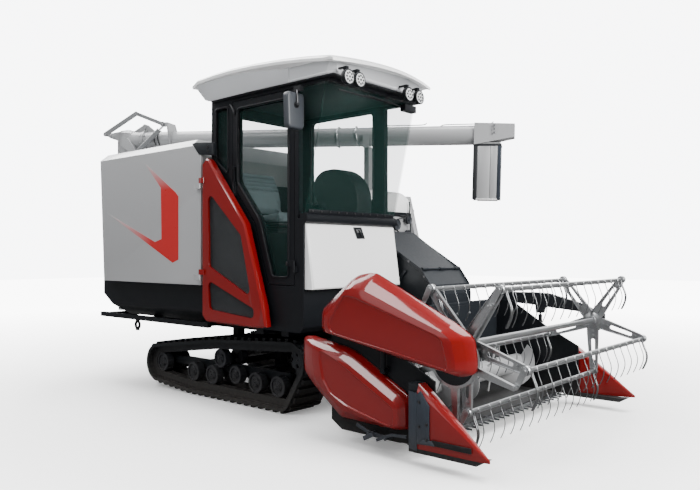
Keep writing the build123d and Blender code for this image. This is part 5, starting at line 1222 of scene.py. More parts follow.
# %% Tank flash
FLASH = (
    (-1231, 2124), (-973, 1882), (-962, 1424), (-1065, 1399), (-1872, 1687), (-794, 1214), (-708, 1243),
    (-708, 1790), (-751, 1830),
)
# in metres: x of the long tip and z of the top tip, and the run over which the red fades in from each
LOW_TIP_X, LOW_TIP_RUN, TOP_TIP_Z, TOP_TIP_RUN = -1.872, 0.75, 2.16, 0.3
flash_material, flash_tree, flash_shader = node_material("tank_flash")
flash_drift = place_group(
    flash_tree, PAINT_DRIFT, {"Color": (0.42, 0.012, 0.012, 1), "Shade": 0.03, "Roughness": 0.3}
)
silver_drift = place_group(
    flash_tree, PAINT_DRIFT, {"Color": (0.45, 0.455, 0.465, 1), "Shade": 0.02, "Roughness": 0.36}
)
flash_where = flash_tree.nodes.new("ShaderNodeTexCoord").outputs["Object"]
flash_axes = flash_tree.nodes.new("ShaderNodeSeparateXYZ")
flash_tree.links.new(flash_where, flash_axes.inputs[0])
low_tip = math_node(flash_tree, "SUBTRACT", flash_axes.outputs["X"], LOW_TIP_X)
low_tip = math_node(flash_tree, "DIVIDE", low_tip, LOW_TIP_RUN, clamp=True)
top_tip = math_node(flash_tree, "SUBTRACT", TOP_TIP_Z, flash_axes.outputs["Z"])
top_tip = math_node(flash_tree, "DIVIDE", top_tip, TOP_TIP_RUN, clamp=True)
shown = math_node(flash_tree, "MULTIPLY", low_tip, top_tip)
flash_colour = mix_colour(flash_tree, shown, silver_drift.outputs["Color"], flash_drift.outputs["Color"])
flash_tree.links.new(flash_colour, flash_shader.inputs["Base Color"])
flash_tree.links.new(flash_drift.outputs["Roughness"], flash_shader.inputs["Roughness"])
flash_shader.inputs["Coat Weight"].default_value = 0.25
flash_shader.inputs["Coat Roughness"].default_value = COAT_ROUGH
bm = bmesh.new()
prism(bm, FLASH, -1080.2, -1080.9)
as_piece("tank_flash", bm, flash_material, "base", 20)
print("flash corners:", len(FLASH))

# %% [markdown]
# The reel carries two five-armed steel stars on a centre tube. Each arm is a pressed channel: broad at
# the hub, narrow at the tip, with a long slot through it and folded edges. One arm is drawn, and a tree
# turns copies of it round the hub, so all ten are the same pressing.

# %% Reel stars
REEL_X, REEL_Z, REEL_R = 2120, 745, 415
REEL_PHASE = -16.5
STAR_Y, TUBE_R, TUBE_HALF = 985, 21, 1140
BAR_ANGLES = [REEL_PHASE + 72 * i for i in range(5)]


def about_reel(radius, degrees):
    """The x and z of a point on a circle round the reel's axis, in millimetres."""
    return on_circle((REEL_X, REEL_Z), radius, degrees)


def star_arm():
    """One arm lying along x, from the hub to the tine bar's bearing."""
    bm = bmesh.new()
    web, flange = 4, 24
    outer = [
        (40, -46), (120, -44), (REEL_R - 20, -28), (REEL_R + 18, -22), (REEL_R + 30, 0), (REEL_R + 18, 22),
        (REEL_R - 20, 28), (120, 44), (40, 46),
    ]
    slot = [on_circle((165, 0), 15, 90 + 30 * k) for k in range(7)]
    slot += [on_circle((318, 0), 13, 30 * k - 90) for k in range(7)]
    for depth in (-web / 2, web / 2):
        ring = [bm.verts.new(Vector((x, depth, z)) * MM) for x, z in outer]
        hole = [bm.verts.new(Vector((x, depth, z)) * MM) for x, z in slot]
        edges = [bm.edges.new((ring[i], ring[(i + 1) % len(ring)])) for i in range(len(ring))]
        edges += [bm.edges.new((hole[i], hole[(i + 1) % len(hole)])) for i in range(len(hole))]
        bmesh.ops.triangle_fill(bm, use_beauty=True, edges=edges)
        if depth < 0:
            first_ring, first_hole = ring, hole
    walls_between(bm, first_ring, ring)
    walls_between(bm, first_hole, hole)
    for sign in (-1, 1):
        corners = [
            (44, sign * 47), (120, sign * 45), (REEL_R - 20, sign * 29), (REEL_R - 20, sign * 25),
            (120, sign * 41), (44, sign * 43),
        ]
        near = [bm.verts.new(Vector((x, -flange / 2, z)) * MM) for x, z in corners]
        far = [bm.verts.new(Vector((x, flange / 2, z)) * MM) for x, z in corners]
        bm.faces.new(near)
        bm.faces.new(far)
        walls_between(bm, near, far)
    bmesh.ops.recalc_face_normals(bm, faces=bm.faces)
    bearing = [(14, -16), (27, -16), (30, -12), (30, 12), (27, 16), (14, 16)]
    turned_solid(bm, bearing, (REEL_R, 0, 0), (0, 1, 0), 28)
    mesh = bpy.data.meshes.new("star_arm")
    bm.to_mesh(mesh)
    bm.free()
    return mesh


def build_star_tree():
    """Copies of the arm turned round the hub."""
    tree, start, end = node_tree(
        "arms_round_hub",
        [
            ("Arms", "NodeSocketInt", 5),
            ("Hub", "NodeSocketVector", (0, 0, 0)),
            ("First", "NodeSocketFloat", 0.0),
            ("Finish", "NodeSocketMaterial", None),
        ],
    )
    points = add_node(tree, "GeometryNodePoints", Count=start.outputs["Arms"], Position=start.outputs["Hub"])
    number = add_node(tree, "GeometryNodeInputIndex")
    share = math_node(tree, "DIVIDE", number.outputs[0], start.outputs["Arms"])
    turned = math_node(tree, "MULTIPLY", share, -2 * math.pi)
    turn = math_node(tree, "ADD", turned, start.outputs["First"])
    angles = add_node(tree, "ShaderNodeCombineXYZ", Y=turn)
    euler = add_node(tree, "FunctionNodeEulerToRotation", Euler=angles.outputs[0])
    arms = add_node(
        tree,
        "GeometryNodeInstanceOnPoints",
        Points=points.outputs[0],
        Instance=start.outputs["Geometry"],
        Rotation=euler.outputs[0],
    )
    close_tree(tree, end, arms.outputs[0], start.outputs["Finish"])
    return tree


STAR_TREE = build_star_tree()
for hand, label in SIDES:
    hub_values = {
        "Arms": 5, "Hub": [REEL_X * MM, hand * STAR_Y * MM, REEL_Z * MM], "First": -math.radians(REEL_PHASE)
    }
    star = run_tree(STAR_TREE, star_arm(), hub_values, "reel_star_" + label, ZINC, "reel", 40)
    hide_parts("reel")
bm = bmesh.new()
round_rod(bm, (REEL_X, -TUBE_HALF, REEL_Z), (REEL_X, TUBE_HALF, REEL_Z), TUBE_R, 28)
for hand in (-1, 1):
    hub = (REEL_X, hand * STAR_Y, REEL_Z)
    plate = [(TUBE_R, -10), (60, -10), (66, -6), (66, 6), (60, 10), (TUBE_R, 10)]
    turned_solid(bm, plate, hub, (0, 1, 0), 36)
    sleeve = [(TUBE_R, -26), (34, -26), (36, -22), (36, 22), (34, 26), (TUBE_R, 26)]
    turned_solid(bm, sleeve, hub, (0, 1, 0), 28)
reel_tube = as_piece("reel_tube", bm, ZINC, "reel", 40)
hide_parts("reel")
# how far an arm's bolts lie from the reel's axis
ARM_BOLTS = (88, 125, 355)
faces = [(hand, s) for hand in (-1, 1) for s in (-1, 1)]
hub_spots = [(*about_reel(50, a + 36), hand * (STAR_Y + 11 * s)) for hand, s in faces for a in BAR_ANGLES]
hub_spots += [
    (*about_reel(r, a), hand * (STAR_Y + 3 * s)) for hand, s in faces for a in BAR_ANGLES for r in ARM_BOLTS
]
for sign, label in ((1, "left"), (-1, "right")):
    spots = [(x, y, z) for x, z, y in hub_spots if (abs(y) > STAR_Y) == ((sign > 0) == (y > 0))]
    bolts("reel_bolts_" + label, spots, (0, sign, 0), ZINC, "reel", 16, 9)
print("reel arms: 10, bolts:", len(hub_spots))

# %% [markdown]
# Between the stars, five tine bars turn in the star tips. Each bar is a tube with a flat strip clamped under
# it, and spring tines of round wire hang from it. One tine is a short line of points that the bar tree bends,
# thickens and repeats along the bar.

# %% Tine bars
TINES, TINE_PITCH, TINE_DROP = 14, 134, 235
RING_X, RING_Z = 2070, 645
BAR_R, BAR_RIGHT, BAR_LEFT, TINE_R = 13, -1011, 1007, 3.4
# x and z of a tine's points from its bar
TINE = ((14, -9), (16, -40), (50, -95), (50, -165), (14, -TINE_DROP + 3))
CRANK_IN, CRANK_OUT = -1007, -1015
half_row = TINE_PITCH * (TINES - 1) / 2
for index, angle in enumerate(BAR_ANGLES, start=1):
    bar_x, bar_z = about_reel(REEL_R, angle)
    body = "tine_bar_" + str(index)
    bm = bmesh.new()
    round_rod(bm, (bar_x, BAR_RIGHT, bar_z), (bar_x, BAR_LEFT, bar_z), BAR_R, 20)
    block(
        bm, (bar_x - BAR_R, -half_row - 26, bar_z - BAR_R - 4), (bar_x + BAR_R, half_row + 26, bar_z - BAR_R)
    )
    for k in range(TINES):
        y = k * TINE_PITCH - half_row
        block(bm, (bar_x - 10, y - 9, bar_z - 20), (bar_x + 16, y + 9, bar_z + 10))
    short = [e for e in bm.edges if abs(e.verts[0].co.y - e.verts[1].co.y) < 0.03]
    soften(bm, 1.5, 1, edges=[e for e in short if e.is_manifold and e.calc_face_angle(0) > 1])
    bar = as_piece("tine_tube_" + str(index), bm, ZINC, body, 40)
    tine = [(bar_x + x, -half_row, bar_z + z) for x, z in TINE]
    step = (0, TINE_PITCH, 0)
    tines = bent_bar("tines_" + str(index), tine, TINE_R, TINE_STEEL, body, TINES, step, 8)
    crank_x, crank_z = bar_x + RING_X - REEL_X, bar_z + RING_Z - REEL_Z
    bm = bmesh.new()
    lean = math.degrees(math.atan2(crank_z - bar_z, crank_x - bar_x))
    outline = [on_circle((bar_x, bar_z), 21, lean + 90 + 22.5 * k) for k in range(9)]
    outline += [on_circle((crank_x, crank_z), 15, lean - 90 + 22.5 * k) for k in range(9)]
    prism(bm, outline, CRANK_IN, CRANK_OUT)
    turned_solid(bm, [(0, 0), (6, 0), (6, 38), (0, 38)], (crank_x, CRANK_OUT + 2, crank_z), (0, -1, 0), 16)
    turned_solid(bm, [(0, 0), (12, 0), (12, 2), (0, 2)], (bar_x, CRANK_OUT, bar_z), (0, -1, 0), 6)
    soften(bm, 1.2, 1, 50)
    crank = as_piece("tine_crank_" + str(index), bm, ZINC, body, 40)
    for piece in (bar, tines, crank):
        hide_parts(body)
print("tines:", 5 * TINES)

# %% [markdown]
# Every pane sits in a rubber seal that stands a little proud of the frame, so it draws a thin line round
# the window. A seal is one closed line of points, the window's own outline with rounded corners, and the
# bar tree gives it its round section.

# %% Window seals
DOOR = ((640, 1058), (640, 2528), (-70, 2528), (-70, 1858), (204, 1536), (362, 1058))
DOOR_STILE = 58
QUARTER = ((-294, 2500), (-130, 2500), (-130, 1950), (-200, 2000), (-294, 2082))
LEFT_WINDOW = ((-200, 1740), (560, 1740), (560, 2520), (-200, 2520))
REAR_WINDOW = ((-845, 1900), (-65, 1900), (-65, 2480), (-845, 2480))
CAB_RIGHT, CAB_LEFT, CAB_REAR = -1000, 90, -350
SEAL_R = 9
# name, outline, corner radius, how far across the machine, body
SIDE_SEALS = (
    ("door_seal_outer", inner_outline(DOOR, DOOR_STILE), 34, CAB_RIGHT - 1, "cab_door"),
    ("door_seal_inner", inner_outline(DOOR, DOOR_STILE), 34, CAB_RIGHT + 43, "cab_door"),
    ("quarter_seal", QUARTER, 30, CAB_RIGHT - 1, "base"),
    ("left_seal", LEFT_WINDOW, 46, CAB_LEFT - 51, "base"),
)
for name, outline, corner, y, body in SIDE_SEALS:
    line = [(x, y, z) for x, z in rounded_outline(outline, corner, 6)]
    bent_bar(name, line, SEAL_R, BLACK, body, sides=10, closed=True, steps=2)
for name, x in (("rear_seal_outer", CAB_REAR - 1), ("rear_seal_inner", CAB_REAR + 51)):
    line = [(x, y, z) for y, z in rounded_outline(REAR_WINDOW, 36, 6)]
    bent_bar(name, line, SEAL_R, BLACK, "base", sides=10, closed=True, steps=2)
print("seals:", len(SIDE_SEALS) + 2)

# %% [markdown]
# The windscreen leans forwards, and a clamp with a row of small screws holds its lower edge. Its wiper is
# parked along the top, with the motor under the roof's nose at the left corner.

# %% Windscreen trims and wiper
GLASS_LOW, GLASS_HIGH = (748, 1601), (960, 2535)
GLASS_RIGHT, GLASS_LEFT = -986, 76


def glass_x(z, off=0):
    """Forward place of the windscreen's face at a height."""
    share = (z - GLASS_LOW[1]) / (GLASS_HIGH[1] - GLASS_LOW[1])
    return GLASS_LOW[0] + share * (GLASS_HIGH[0] - GLASS_LOW[0]) + off


bm = bmesh.new()
clamp = [
    (glass_x(1600, 2), 1600), (glass_x(1626, 2), 1626), (glass_x(1626, 12), 1626), (glass_x(1596, 14), 1596)
]
prism(bm, clamp, GLASS_RIGHT + 20, GLASS_LEFT - 12)
soften(bm, 2)
as_piece("windscreen_clamp", bm, BLACK, "base")
screws = [(glass_x(1612, 15), GLASS_RIGHT + 60 + 96 * k, 1612) for k in range(11)]
bolts("windscreen_screws", screws, (1, 0, 0), DARK_STEEL, "base", 9, 5)

WIPER_Z, BLADE_RIGHT, BLADE_LEFT = 2502, -860, -230
wiper_x = glass_x(WIPER_Z, 14)
bm = bmesh.new()
block(bm, (wiper_x + 4, -120, 2452), (wiper_x + 56, 34, 2508))
round_rod(bm, (wiper_x - 12, -20, 2480), (wiper_x + 30, -20, 2480), 22, 24)
block(bm, (wiper_x - 9, BLADE_RIGHT, WIPER_Z - 9), (wiper_x - 2, BLADE_LEFT, WIPER_Z + 5))
block(bm, (wiper_x - 4, -560, WIPER_Z - 3), (wiper_x + 5, -500, WIPER_Z + 11))
soften(bm, 3)
as_piece("wiper_motor", bm, PLASTIC, "base")
arm = [
    (wiper_x + 4, -530, WIPER_Z + 6),
    (wiper_x + 8, -420, WIPER_Z + 8),
    (wiper_x + 10, -180, WIPER_Z - 6),
    (wiper_x + 12, -22, 2484),
]
bent_bar("wiper_arm", arm, 5, DARK_STEEL, "base")
print("wiper blade:", BLADE_LEFT - BLADE_RIGHT, "mm")

# %% [markdown]
# The door has a pull handle with its lock at the rear stile, a short stay above it, and hinge straps at
# the front. Each is a few softened blocks and rods, because cast and pressed fittings have thick rounded
# edges.

# %% Door fittings
bm = bmesh.new()
block(bm, (-66, -1010, 1766), (-24, -999, 1876))
round_rod(bm, (-45, -999, 1792), (-45, -1016, 1792), 14, 24)
round_rod(bm, (-45, -999, 1852), (-45, -1022, 1852), 9, 20)
block(bm, (-54, -1023, 1760), (-36, -1013, 1862))
block(bm, (-62, -1012, 2424), (-36, -999, 2466))
soften(bm, 3, 3)
as_piece("door_handle", bm, PLASTIC, "cab_door")
stay = [(-50, -1006, 2440), (-52, -1018, 2470), (-74, -1016, 2504), (-100, -1006, 2514)]
bent_bar("door_stay_hook", stay, 6, DARK_STEEL, "cab_door")
HINGE_Z = (1200, 2350)
bm = bmesh.new()
for z in HINGE_Z:
    block(bm, (556, -1008, z + 2), (634, -999, z + 36))
soften(bm, 2.5)
as_piece("door_hinge_straps", bm, BLACK, "cab_door")
strap_bolts = [(x, -1009, z + 19) for z in HINGE_Z for x in (575, 610)]
bolts("door_hinge_bolts", strap_bolts, (0, -1, 0), DARK_STEEL, "cab_door", 15, 7)
print("door hinges:", len(HINGE_Z))

# %% [markdown]
# Inside, a console stands at the driver's left. A real one has a sloping top with levers, a small screen
# on an arm and a grab ring, so these are set on the CAD console's solid, which gets softened edges.

# %% Console and controls
bm = copy_of_node("console")
soften(bm, 10, 3, 30)
console_body = as_piece("console_body", bm, PLASTIC, "base", 40)
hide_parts("console")
bm = bmesh.new()
# x and y of each lever's foot, and how far forwards its knob stands
LEVERS = ((330, -200, 10.8), (420, -170, 0), (420, -240, 0))
for x, y, lean in LEVERS:
    top = (x + lean, y, 1650)
    round_rod(bm, (x, y, 1520), top, 6, 16)
    knob = Matrix.Translation(side(*top))
    bmesh.ops.create_uvsphere(bm, u_segments=18, v_segments=12, radius=0.021, matrix=knob)
block(bm, (560, -292, 1800), (586, -118, 1920))
soften(bm, 4, 2, 60)
as_piece("control_levers", bm, PLASTIC, "base", 50)
ring = [(x, -308, z) for x, z in ((-24, 1620), (22, 1620), (30, 1690), (26, 1770), (-20, 1775), (-30, 1700))]
bent_bar("grab_ring", ring, 9, CHROME, "base", closed=True)
print("levers:", len(LEVERS))

# %% [markdown]
# The driver's seat is padded, so its cushion and back are blown up like real foam under a cover. Each
# starts as a slightly smaller closed form, is made into an even mesh, and is then swelled by a cloth
# simulation with air pressure and no gravity. The back's mesh is held fast along four lines, so it swells
# between them into ribs, and the sewn seams are pressed in afterwards, because the even mesh is too
# coarse to keep a narrow channel. A closed cover swells without end, so the distance that a point may
# move is capped.

# %% Driver's seat
SEAT_Y, CUSHION_HALF, BACK_HALF = -560, 214, 204
VOXEL, SIM_FRAMES, AIR_PRESSURE = 7, 20, 4
SEAM_W, SEAM_DEPTH, HELD = 7, 11, 4  # HELD is how far from a held line the points stay put


def swelled(name, bm, held, cap, seams=()):
    """A closed form made even and blown up, but for the points that held() names, with seams at heights."""
    mesh = bpy.data.meshes.new(name + "_start")
    bm.to_mesh(mesh)
    bm.free()
    pad = bpy.data.objects.new(name + "_start", mesh)
    bpy.context.scene.collection.objects.link(pad)
    voxels = pad.modifiers.new("even", "REMESH")
    voxels.mode = "VOXEL"
    voxels.voxel_size = VOXEL * MM
    even = bpy.data.meshes.new_from_object(pad.evaluated_get(bpy.context.evaluated_depsgraph_get()))
    pad.modifiers.clear()
    pad.data = even
    before = [v.co.copy() for v in even.vertices]
    pins = pad.vertex_groups.new(name="held")
    pins.add([i for i, at in enumerate(before) if held(at / MM)], 1.0, "REPLACE")
    cloth = pad.modifiers.new("cover", "CLOTH")
    cloth.settings.quality = 5
    cloth.settings.use_pressure = True
    cloth.settings.uniform_pressure_force = AIR_PRESSURE
    cloth.settings.vertex_group_mass = "held"
    cloth.settings.effector_weights.gravity = 0
    cloth.point_cache.frame_start, cloth.point_cache.frame_end = 1, SIM_FRAMES
    for number in range(1, SIM_FRAMES + 1):
        bpy.context.scene.frame_set(number)
    blown = bpy.data.meshes.new_from_object(pad.evaluated_get(bpy.context.evaluated_depsgraph_get()))
    pad.modifiers.clear()
    bpy.context.scene.frame_set(1)
    for old, new in zip(before, blown.vertices):
        move = new.co - old
        if move.length > cap * MM:
            new.co = old + move.normalized() * cap * MM
    pad.data = blown
    fine = pad.modifiers.new("fine", "SUBSURF")
    fine.levels = fine.render_levels = 1
    done = bpy.data.meshes.new_from_object(pad.evaluated_get(bpy.context.evaluated_depsgraph_get()))
    pad.modifiers.clear()
    bpy.data.objects.remove(pad)
    for point in done.vertices:
        deep = sum(math.exp(-(((point.co.z / MM - z) / SEAM_W) ** 2)) for z in seams)
        if point.normal.x > 0.3 and deep > 0.02:
            point.co -= point.normal * min(1, deep) * SEAM_DEPTH * MM
    piece = as_piece(name, done, FABRIC, "base", 180)
    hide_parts("seat")
    return piece


# side profile of the cushion and the back, in x and z
CUSHION = ((-128, 1552), (238, 1552), (252, 1582), (228, 1622), (60, 1606), (-128, 1604))
BACK = ((-196, 1640), (-150, 1634), (-176, 1760), (-212, 1880), (-254, 1992), (-276, 1990))
RIB_HEIGHTS = (1852, 1884, 1918, 1954)


def cushion_held(at):
    """True under the cushion and on the line across its top."""
    return at.z < 1556 or abs(at.x - 20) < HELD and at.z > 1590


bm = bmesh.new()
prism(bm, CUSHION, SEAT_Y - CUSHION_HALF, SEAT_Y + CUSHION_HALF)
soften(bm, 22, 3, 20)
cushion = swelled("seat_cushion", bm, cushion_held, 20)
bm = bmesh.new()
near, far, _ = prism(bm, BACK, SEAT_Y - BACK_HALF, SEAT_Y + BACK_HALF)
for v in near[3:] + far[3:]:
    share = (v.co.z / MM - 1880) / 112 if v.co.z > 1.88 else 0
    v.co.y = (SEAT_Y + (v.co.y / MM - SEAT_Y) * (1 - 0.12 * share)) * MM
soften(bm, 18, 3, 20)


def back_face(z):
    """The x of the back's front face at a height."""
    return along_table(tuple((z1, x1) for x1, z1 in BACK[1:5]), z)


def back_held(at):
    """True on the back's ribs and behind its front half."""
    on_rib = any(abs(at.z - z) < HELD for z in RIB_HEIGHTS) and abs(at.y - SEAT_Y) < 160
    return on_rib or at.x < back_face(at.z) - 32


back = swelled("seat_back", bm, back_held, 22, RIB_HEIGHTS)
bm = bmesh.new()
block(bm, (-180, SEAT_Y - 222, 1520), (246, SEAT_Y + 222, 1545))
shell = [(-214, 1560), (-204, 1560), (-206, 1640), (-286, 1996), (-294, 1994), (-216, 1636)]
prism(bm, shell, SEAT_Y - 190, SEAT_Y + 190)
soften(bm, 8, 2)
seat_pan = as_piece("seat_pan", bm, PLASTIC, "base")
bm = bmesh.new()
for fold in range(4):
    inset, z = 8 * (fold % 2), 1460 + 15 * fold
    block(bm, (-160 + inset, SEAT_Y - 190 + inset, z), (200 - inset, SEAT_Y + 190 - inset, z + 15))
soften(bm, 5, 2)
seat_base = as_piece("seat_base", bm, RUBBER, "base")
for piece in (seat_pan, seat_base):
    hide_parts("seat")
print("seat points:", len(cushion.data.vertices), len(back.data.vertices))

# %% [markdown]
# The tank, the white panel below the windscreen and the red screen panel keep the CAD solids' shapes, and
# get softened edges, because a bent sheet has a round corner that draws a bright line. Small mouldings
# and a latch stand on them.

# %% Tank, front panel and latch
LONG = 0.12  # metres; shorter edges of a CAD solid stay sharp
# the front panel's face: x at its top, how far it leans, height of its top, and its height
PANEL_TOP_X, PANEL_LEAN, PANEL_TOP, PANEL_H = 760, 70, 1518, 488


def soft_copy(node, name, width, finish, body, segments=3, angle=25):
    """A CAD node's own shape with its long edges rounded."""
    bm = copy_of_node(node)
    edges = [
        e
        for e in bm.edges
        if e.is_manifold and e.calc_face_angle(0) > math.radians(angle) and e.calc_length() > LONG
    ]
    soften(bm, width, segments, edges=edges)
    piece = as_piece(name, bm, finish, body, 30)
    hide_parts(node)
    return piece


soft_copy("grain_tank", "tank_shell", 5, SILVER, "base")
soft_copy("front_panel", "front_moulding", 7, WHITE, "base")
bm = bmesh.new()
prism(bm, [(-520, 2228), (-474, 2236), (-240, 2212), (-240, 2108), (-398, 2124), (-424, 2128)], -1078, -1032)
soften(bm, 4)
as_piece("tank_bracket", bm, SLATE, "base")
bracket_bolts = [(-300, -1079, 2180), (-300, -1079, 2146)]
bolts("tank_bracket_bolts", bracket_bolts, (0, -1, 0), DARK_STEEL, "base", 13, 6)


def panel_x(z):
    """The front panel's face at a height."""
    return PANEL_TOP_X + PANEL_LEAN * (PANEL_TOP - z) / PANEL_H


def on_panel(bm, corners, low, high):
    """A flat shape in y and z, standing on the slanting panel between two heights."""
    near, far, _ = prism(bm, corners, low, high, "front")
    for v in near + far:
        v.co.x += panel_x(v.co.z / MM) * MM


# name, finish, slot, from and to off the panel, width and segments of the round edge, y and z of the corners
LATCH = (
    ("plate", BLACK, "dark_plastic", 0, 7, 3, 2, [(-467, 1504), (-369, 1507), (-335, 1415), (-434, 1413)]),
    ("cup", ZINC, "reel_steel", 6.5, 8.5, 0.8, 1, [(-440, 1488), (-392, 1490), (-380, 1462), (-428, 1460)]),
    ("lever", PLASTIC, "dark_plastic", 7, 18, 3, 2, [(-420, 1484), (-408, 1484), (-372, 1432), (-386, 1430)]),
)
for name, finish, slot, low, high, width, segments, corners in LATCH:
    bm = bmesh.new()
    on_panel(bm, corners, low, high)
    soften(bm, width, segments)
    as_piece("latch_" + name, bm, finish, "base")
print("tank, panel and latch done")

# %% [markdown]
# The screen panel's two windows hold woven wire. A tree turns every line of a mesh into a round wire, and
# the lines are cut to the window where they cross its outline, so the weave ends at the frame as real
# mesh does.

# %% Screen panel and wire mesh
soft_copy("screen_panel", "screen_moulding", 7, RED, "screen_door", 3, 20)


def build_wire_tree():
    """Every edge of a mesh as a straight round wire."""
    tree, start, end = node_tree(
        "wires", [("Radius", "NodeSocketFloat", 0.001), ("Finish", "NodeSocketMaterial", None)]
    )
    parts = add_node(tree, "GeometryNodeSplitEdges", Mesh=start.outputs["Geometry"])
    lines = add_node(tree, "GeometryNodeMeshToCurve", Mesh=parts.outputs[0])
    ring = add_node(tree, "GeometryNodeCurvePrimitiveCircle", Resolution=5, Radius=start.outputs["Radius"])
    wire = add_node(
        tree, "GeometryNodeCurveToMesh", Curve=lines.outputs[0], Profile_Curve=ring.outputs[0], Fill_Caps=True
    )
    close_tree(tree, end, wire.outputs[0], start.outputs["Finish"])
    return tree


WIRE_TREE = build_wire_tree()


def crossings(outline, at, along):
    """Where a line at a fixed height (along 0) or x (along 1) crosses an outline, in order."""
    found = []
    for a, b in zip(outline, outline[1:] + outline[:1]):
        fixed_a, fixed_b = a[1 - along], b[1 - along]
        if (fixed_a - at) * (fixed_b - at) < 0:
            share = (at - fixed_a) / (fixed_b - fixed_a)
            found.append(a[along] + share * (b[along] - a[along]))
    return sorted(found)


WINDOWS = (
    ((-270, 1812), (145, 1440), (268, 952), (-257, 1190)),
    ((-270, 1078), (300, 868), (298, 792), (-250, 838)),
)
MESH_Y, MESH_PITCH, WIRE_R = -1083, 11, 1.5
points, lines = [], []
for window in WINDOWS:
    outline = [tuple(p) for p in rounded_outline(inner_outline(window, 2), 36, 5)]
    low_x, high_x = min(p[0] for p in outline), max(p[0] for p in outline)
    low_z, high_z = min(p[1] for p in outline), max(p[1] for p in outline)
    for k in range(int((high_z - low_z) / MESH_PITCH)):
        z = low_z + (k + 0.5) * MESH_PITCH
        ends = crossings(outline, z, 0)
        points += [side(ends[0], MESH_Y, z), side(ends[-1], MESH_Y, z)]
    for k in range(int((high_x - low_x) / MESH_PITCH)):
        x = low_x + (k + 0.5) * MESH_PITCH
        ends = crossings(outline, x, 1)
        points += [side(x, MESH_Y + 2 * WIRE_R, ends[0]), side(x, MESH_Y + 2 * WIRE_R, ends[-1])]
wire_mesh = bpy.data.meshes.new("wire_lines")
wire_mesh.from_pydata(points, [(i, i + 1) for i in range(0, len(points), 2)], [])
run_tree(WIRE_TREE, wire_mesh, {"Radius": WIRE_R * MM}, "screen_wires", MESH, "screen_door", 60)
print("wires:", len(points) // 2)

# %% [markdown]
# Beside the cab, a white rounded hood covers the front of the thresher. Below it run a few black pulleys
# and their belts, and a cable comes down its end. A belt is a closed line round its pulleys, so it is an
# outline drawn out to the belt's width.

# %% Hood, pulleys and belts
HOOD_RIGHT, HOOD_LEFT, HOOD_T = 96, 893, 5
arc = [on_circle((150, 1710), 196, 90 - 9 * k) for k in range(11)]
hood = [(-40, 1906)] + arc + [(346, 1692), (341, 1692)]
hood += [(x - HOOD_T, z - HOOD_T) for x, z in arc[::-1]] + [(-40, 1901)]
bm = bmesh.new()
prism(bm, hood, HOOD_RIGHT, HOOD_LEFT)
soften(bm, 2, 1, 50)
as_piece("hood_cover", bm, WHITE, "base")
# a thin black strip under the hood's front edge stands for the shade in the gap there: painted shade
bm = bmesh.new()
block(bm, (342, HOOD_RIGHT, 1650), (346, HOOD_LEFT, 1690))
as_piece("hood_gap_painted_shade", bm, BLACK, "base")


def tangent_loop(circles, steps=10):
    """The closed line of a belt round circles of (y, z, radius), listed anticlockwise."""
    line = []
    for i, (y, z, r) in enumerate(circles):
        before, after = circles[i - 1], circles[(i + 1) % len(circles)]
        start = math.atan2(z - before[1], y - before[0]) - math.pi / 2
        end = math.atan2(after[1] - z, after[0] - y) - math.pi / 2
        while end < start:
            end += 2 * math.pi
        for k in range(steps + 1):
            angle = start + (end - start) * k / steps
            line.append((y + r * math.cos(angle), z + r * math.sin(angle)))
    return line


# y, z and radius of each pulley
PULLEYS = ((610, 1570, 52), (790, 1480, 44), (800, 1620, 40))
BELT_X, BELT_IN = (377, 387), 0.09  # BELT_IN is the share by which its inner line is drawn together
bm = bmesh.new()
for y, z, r in PULLEYS:
    profile = [
        (0, 0), (10, 0), (12, 10), (r - 10, 10), (r, 2), (r, 8), (r - 8, 16), (r, 24), (r, 30), (r - 10, 22),
        (12, 22), (10, 34), (0, 34),
    ]
    turned_solid(bm, profile, (366, y, z), (1, 0, 0), 32)
    round_rod(bm, (342, y, z), (370, y, z), 12, 16)
as_piece("belt_pulleys", bm, CAST, "base")
bm = bmesh.new()
loop = tangent_loop(PULLEYS)
outer = [bm.verts.new(side(x, y, z)) for x in BELT_X for y, z in loop]
centre_y, centre_z = sum(p[0] for p in PULLEYS) / 3, sum(p[1] for p in PULLEYS) / 3
inner_loop = [(y + (centre_y - y) * BELT_IN, z + (centre_z - z) * BELT_IN) for y, z in loop]
inner = [bm.verts.new(side(x, y, z)) for x in BELT_X for y, z in inner_loop]
count = len(loop)
for i in range(count):
    j = (i + 1) % count
    bm.faces.new((outer[i], outer[j], outer[count + j], outer[count + i]))
    bm.faces.new((inner[i], inner[count + i], inner[count + j], inner[j]))
    bm.faces.new((outer[i], inner[i], inner[j], outer[j]))
    bm.faces.new((outer[count + i], outer[count + j], inner[count + j], inner[count + i]))
bmesh.ops.recalc_face_normals(bm, faces=bm.faces)
as_piece("drive_belt", bm, RUBBER, "base", 40)
cable = [
    (366, 834, 1800), (370, 842, 1740), (370, 838, 1690), (368, 800, 1660), (366, 740, 1655), (350, 706, 1655)
]
bent_bar("hood_cable", cable, 7, PLASTIC, "base")
bm = bmesh.new()
block(bm, (646, 56, 1894), (652, 64, 2241))
block(bm, (646, 56, 1674), (652, 64, 1790))
soften(bm, 1.5, 1)
as_piece("post_strips", bm, WHITE, "base")
print("pulleys:", len(PULLEYS))

# %% [markdown]
# The feeder is a folded sheet channel. A hinge seam with knuckles crosses its top, its lower part has a
# folded rim along each side, and a strut crosses the recess behind the header.

# %% Feeder details
FEEDER_SIDES = (130, 730)
SEAM = (1003, 1165)


def ribbon(points, width):
    """The closed outline of a strip of even width along a line of points."""
    left, right = [], []
    for i, point in enumerate(points):
        before, after = Vector(points[max(0, i - 1)]), Vector(points[min(len(points) - 1, i + 1)])
        along = (after - before).normalized()
        across = Vector((-along.y, along.x)) * width / 2
        left.append(tuple(Vector(point) + across))
        right.append(tuple(Vector(point) - across))
    return left + right[::-1]


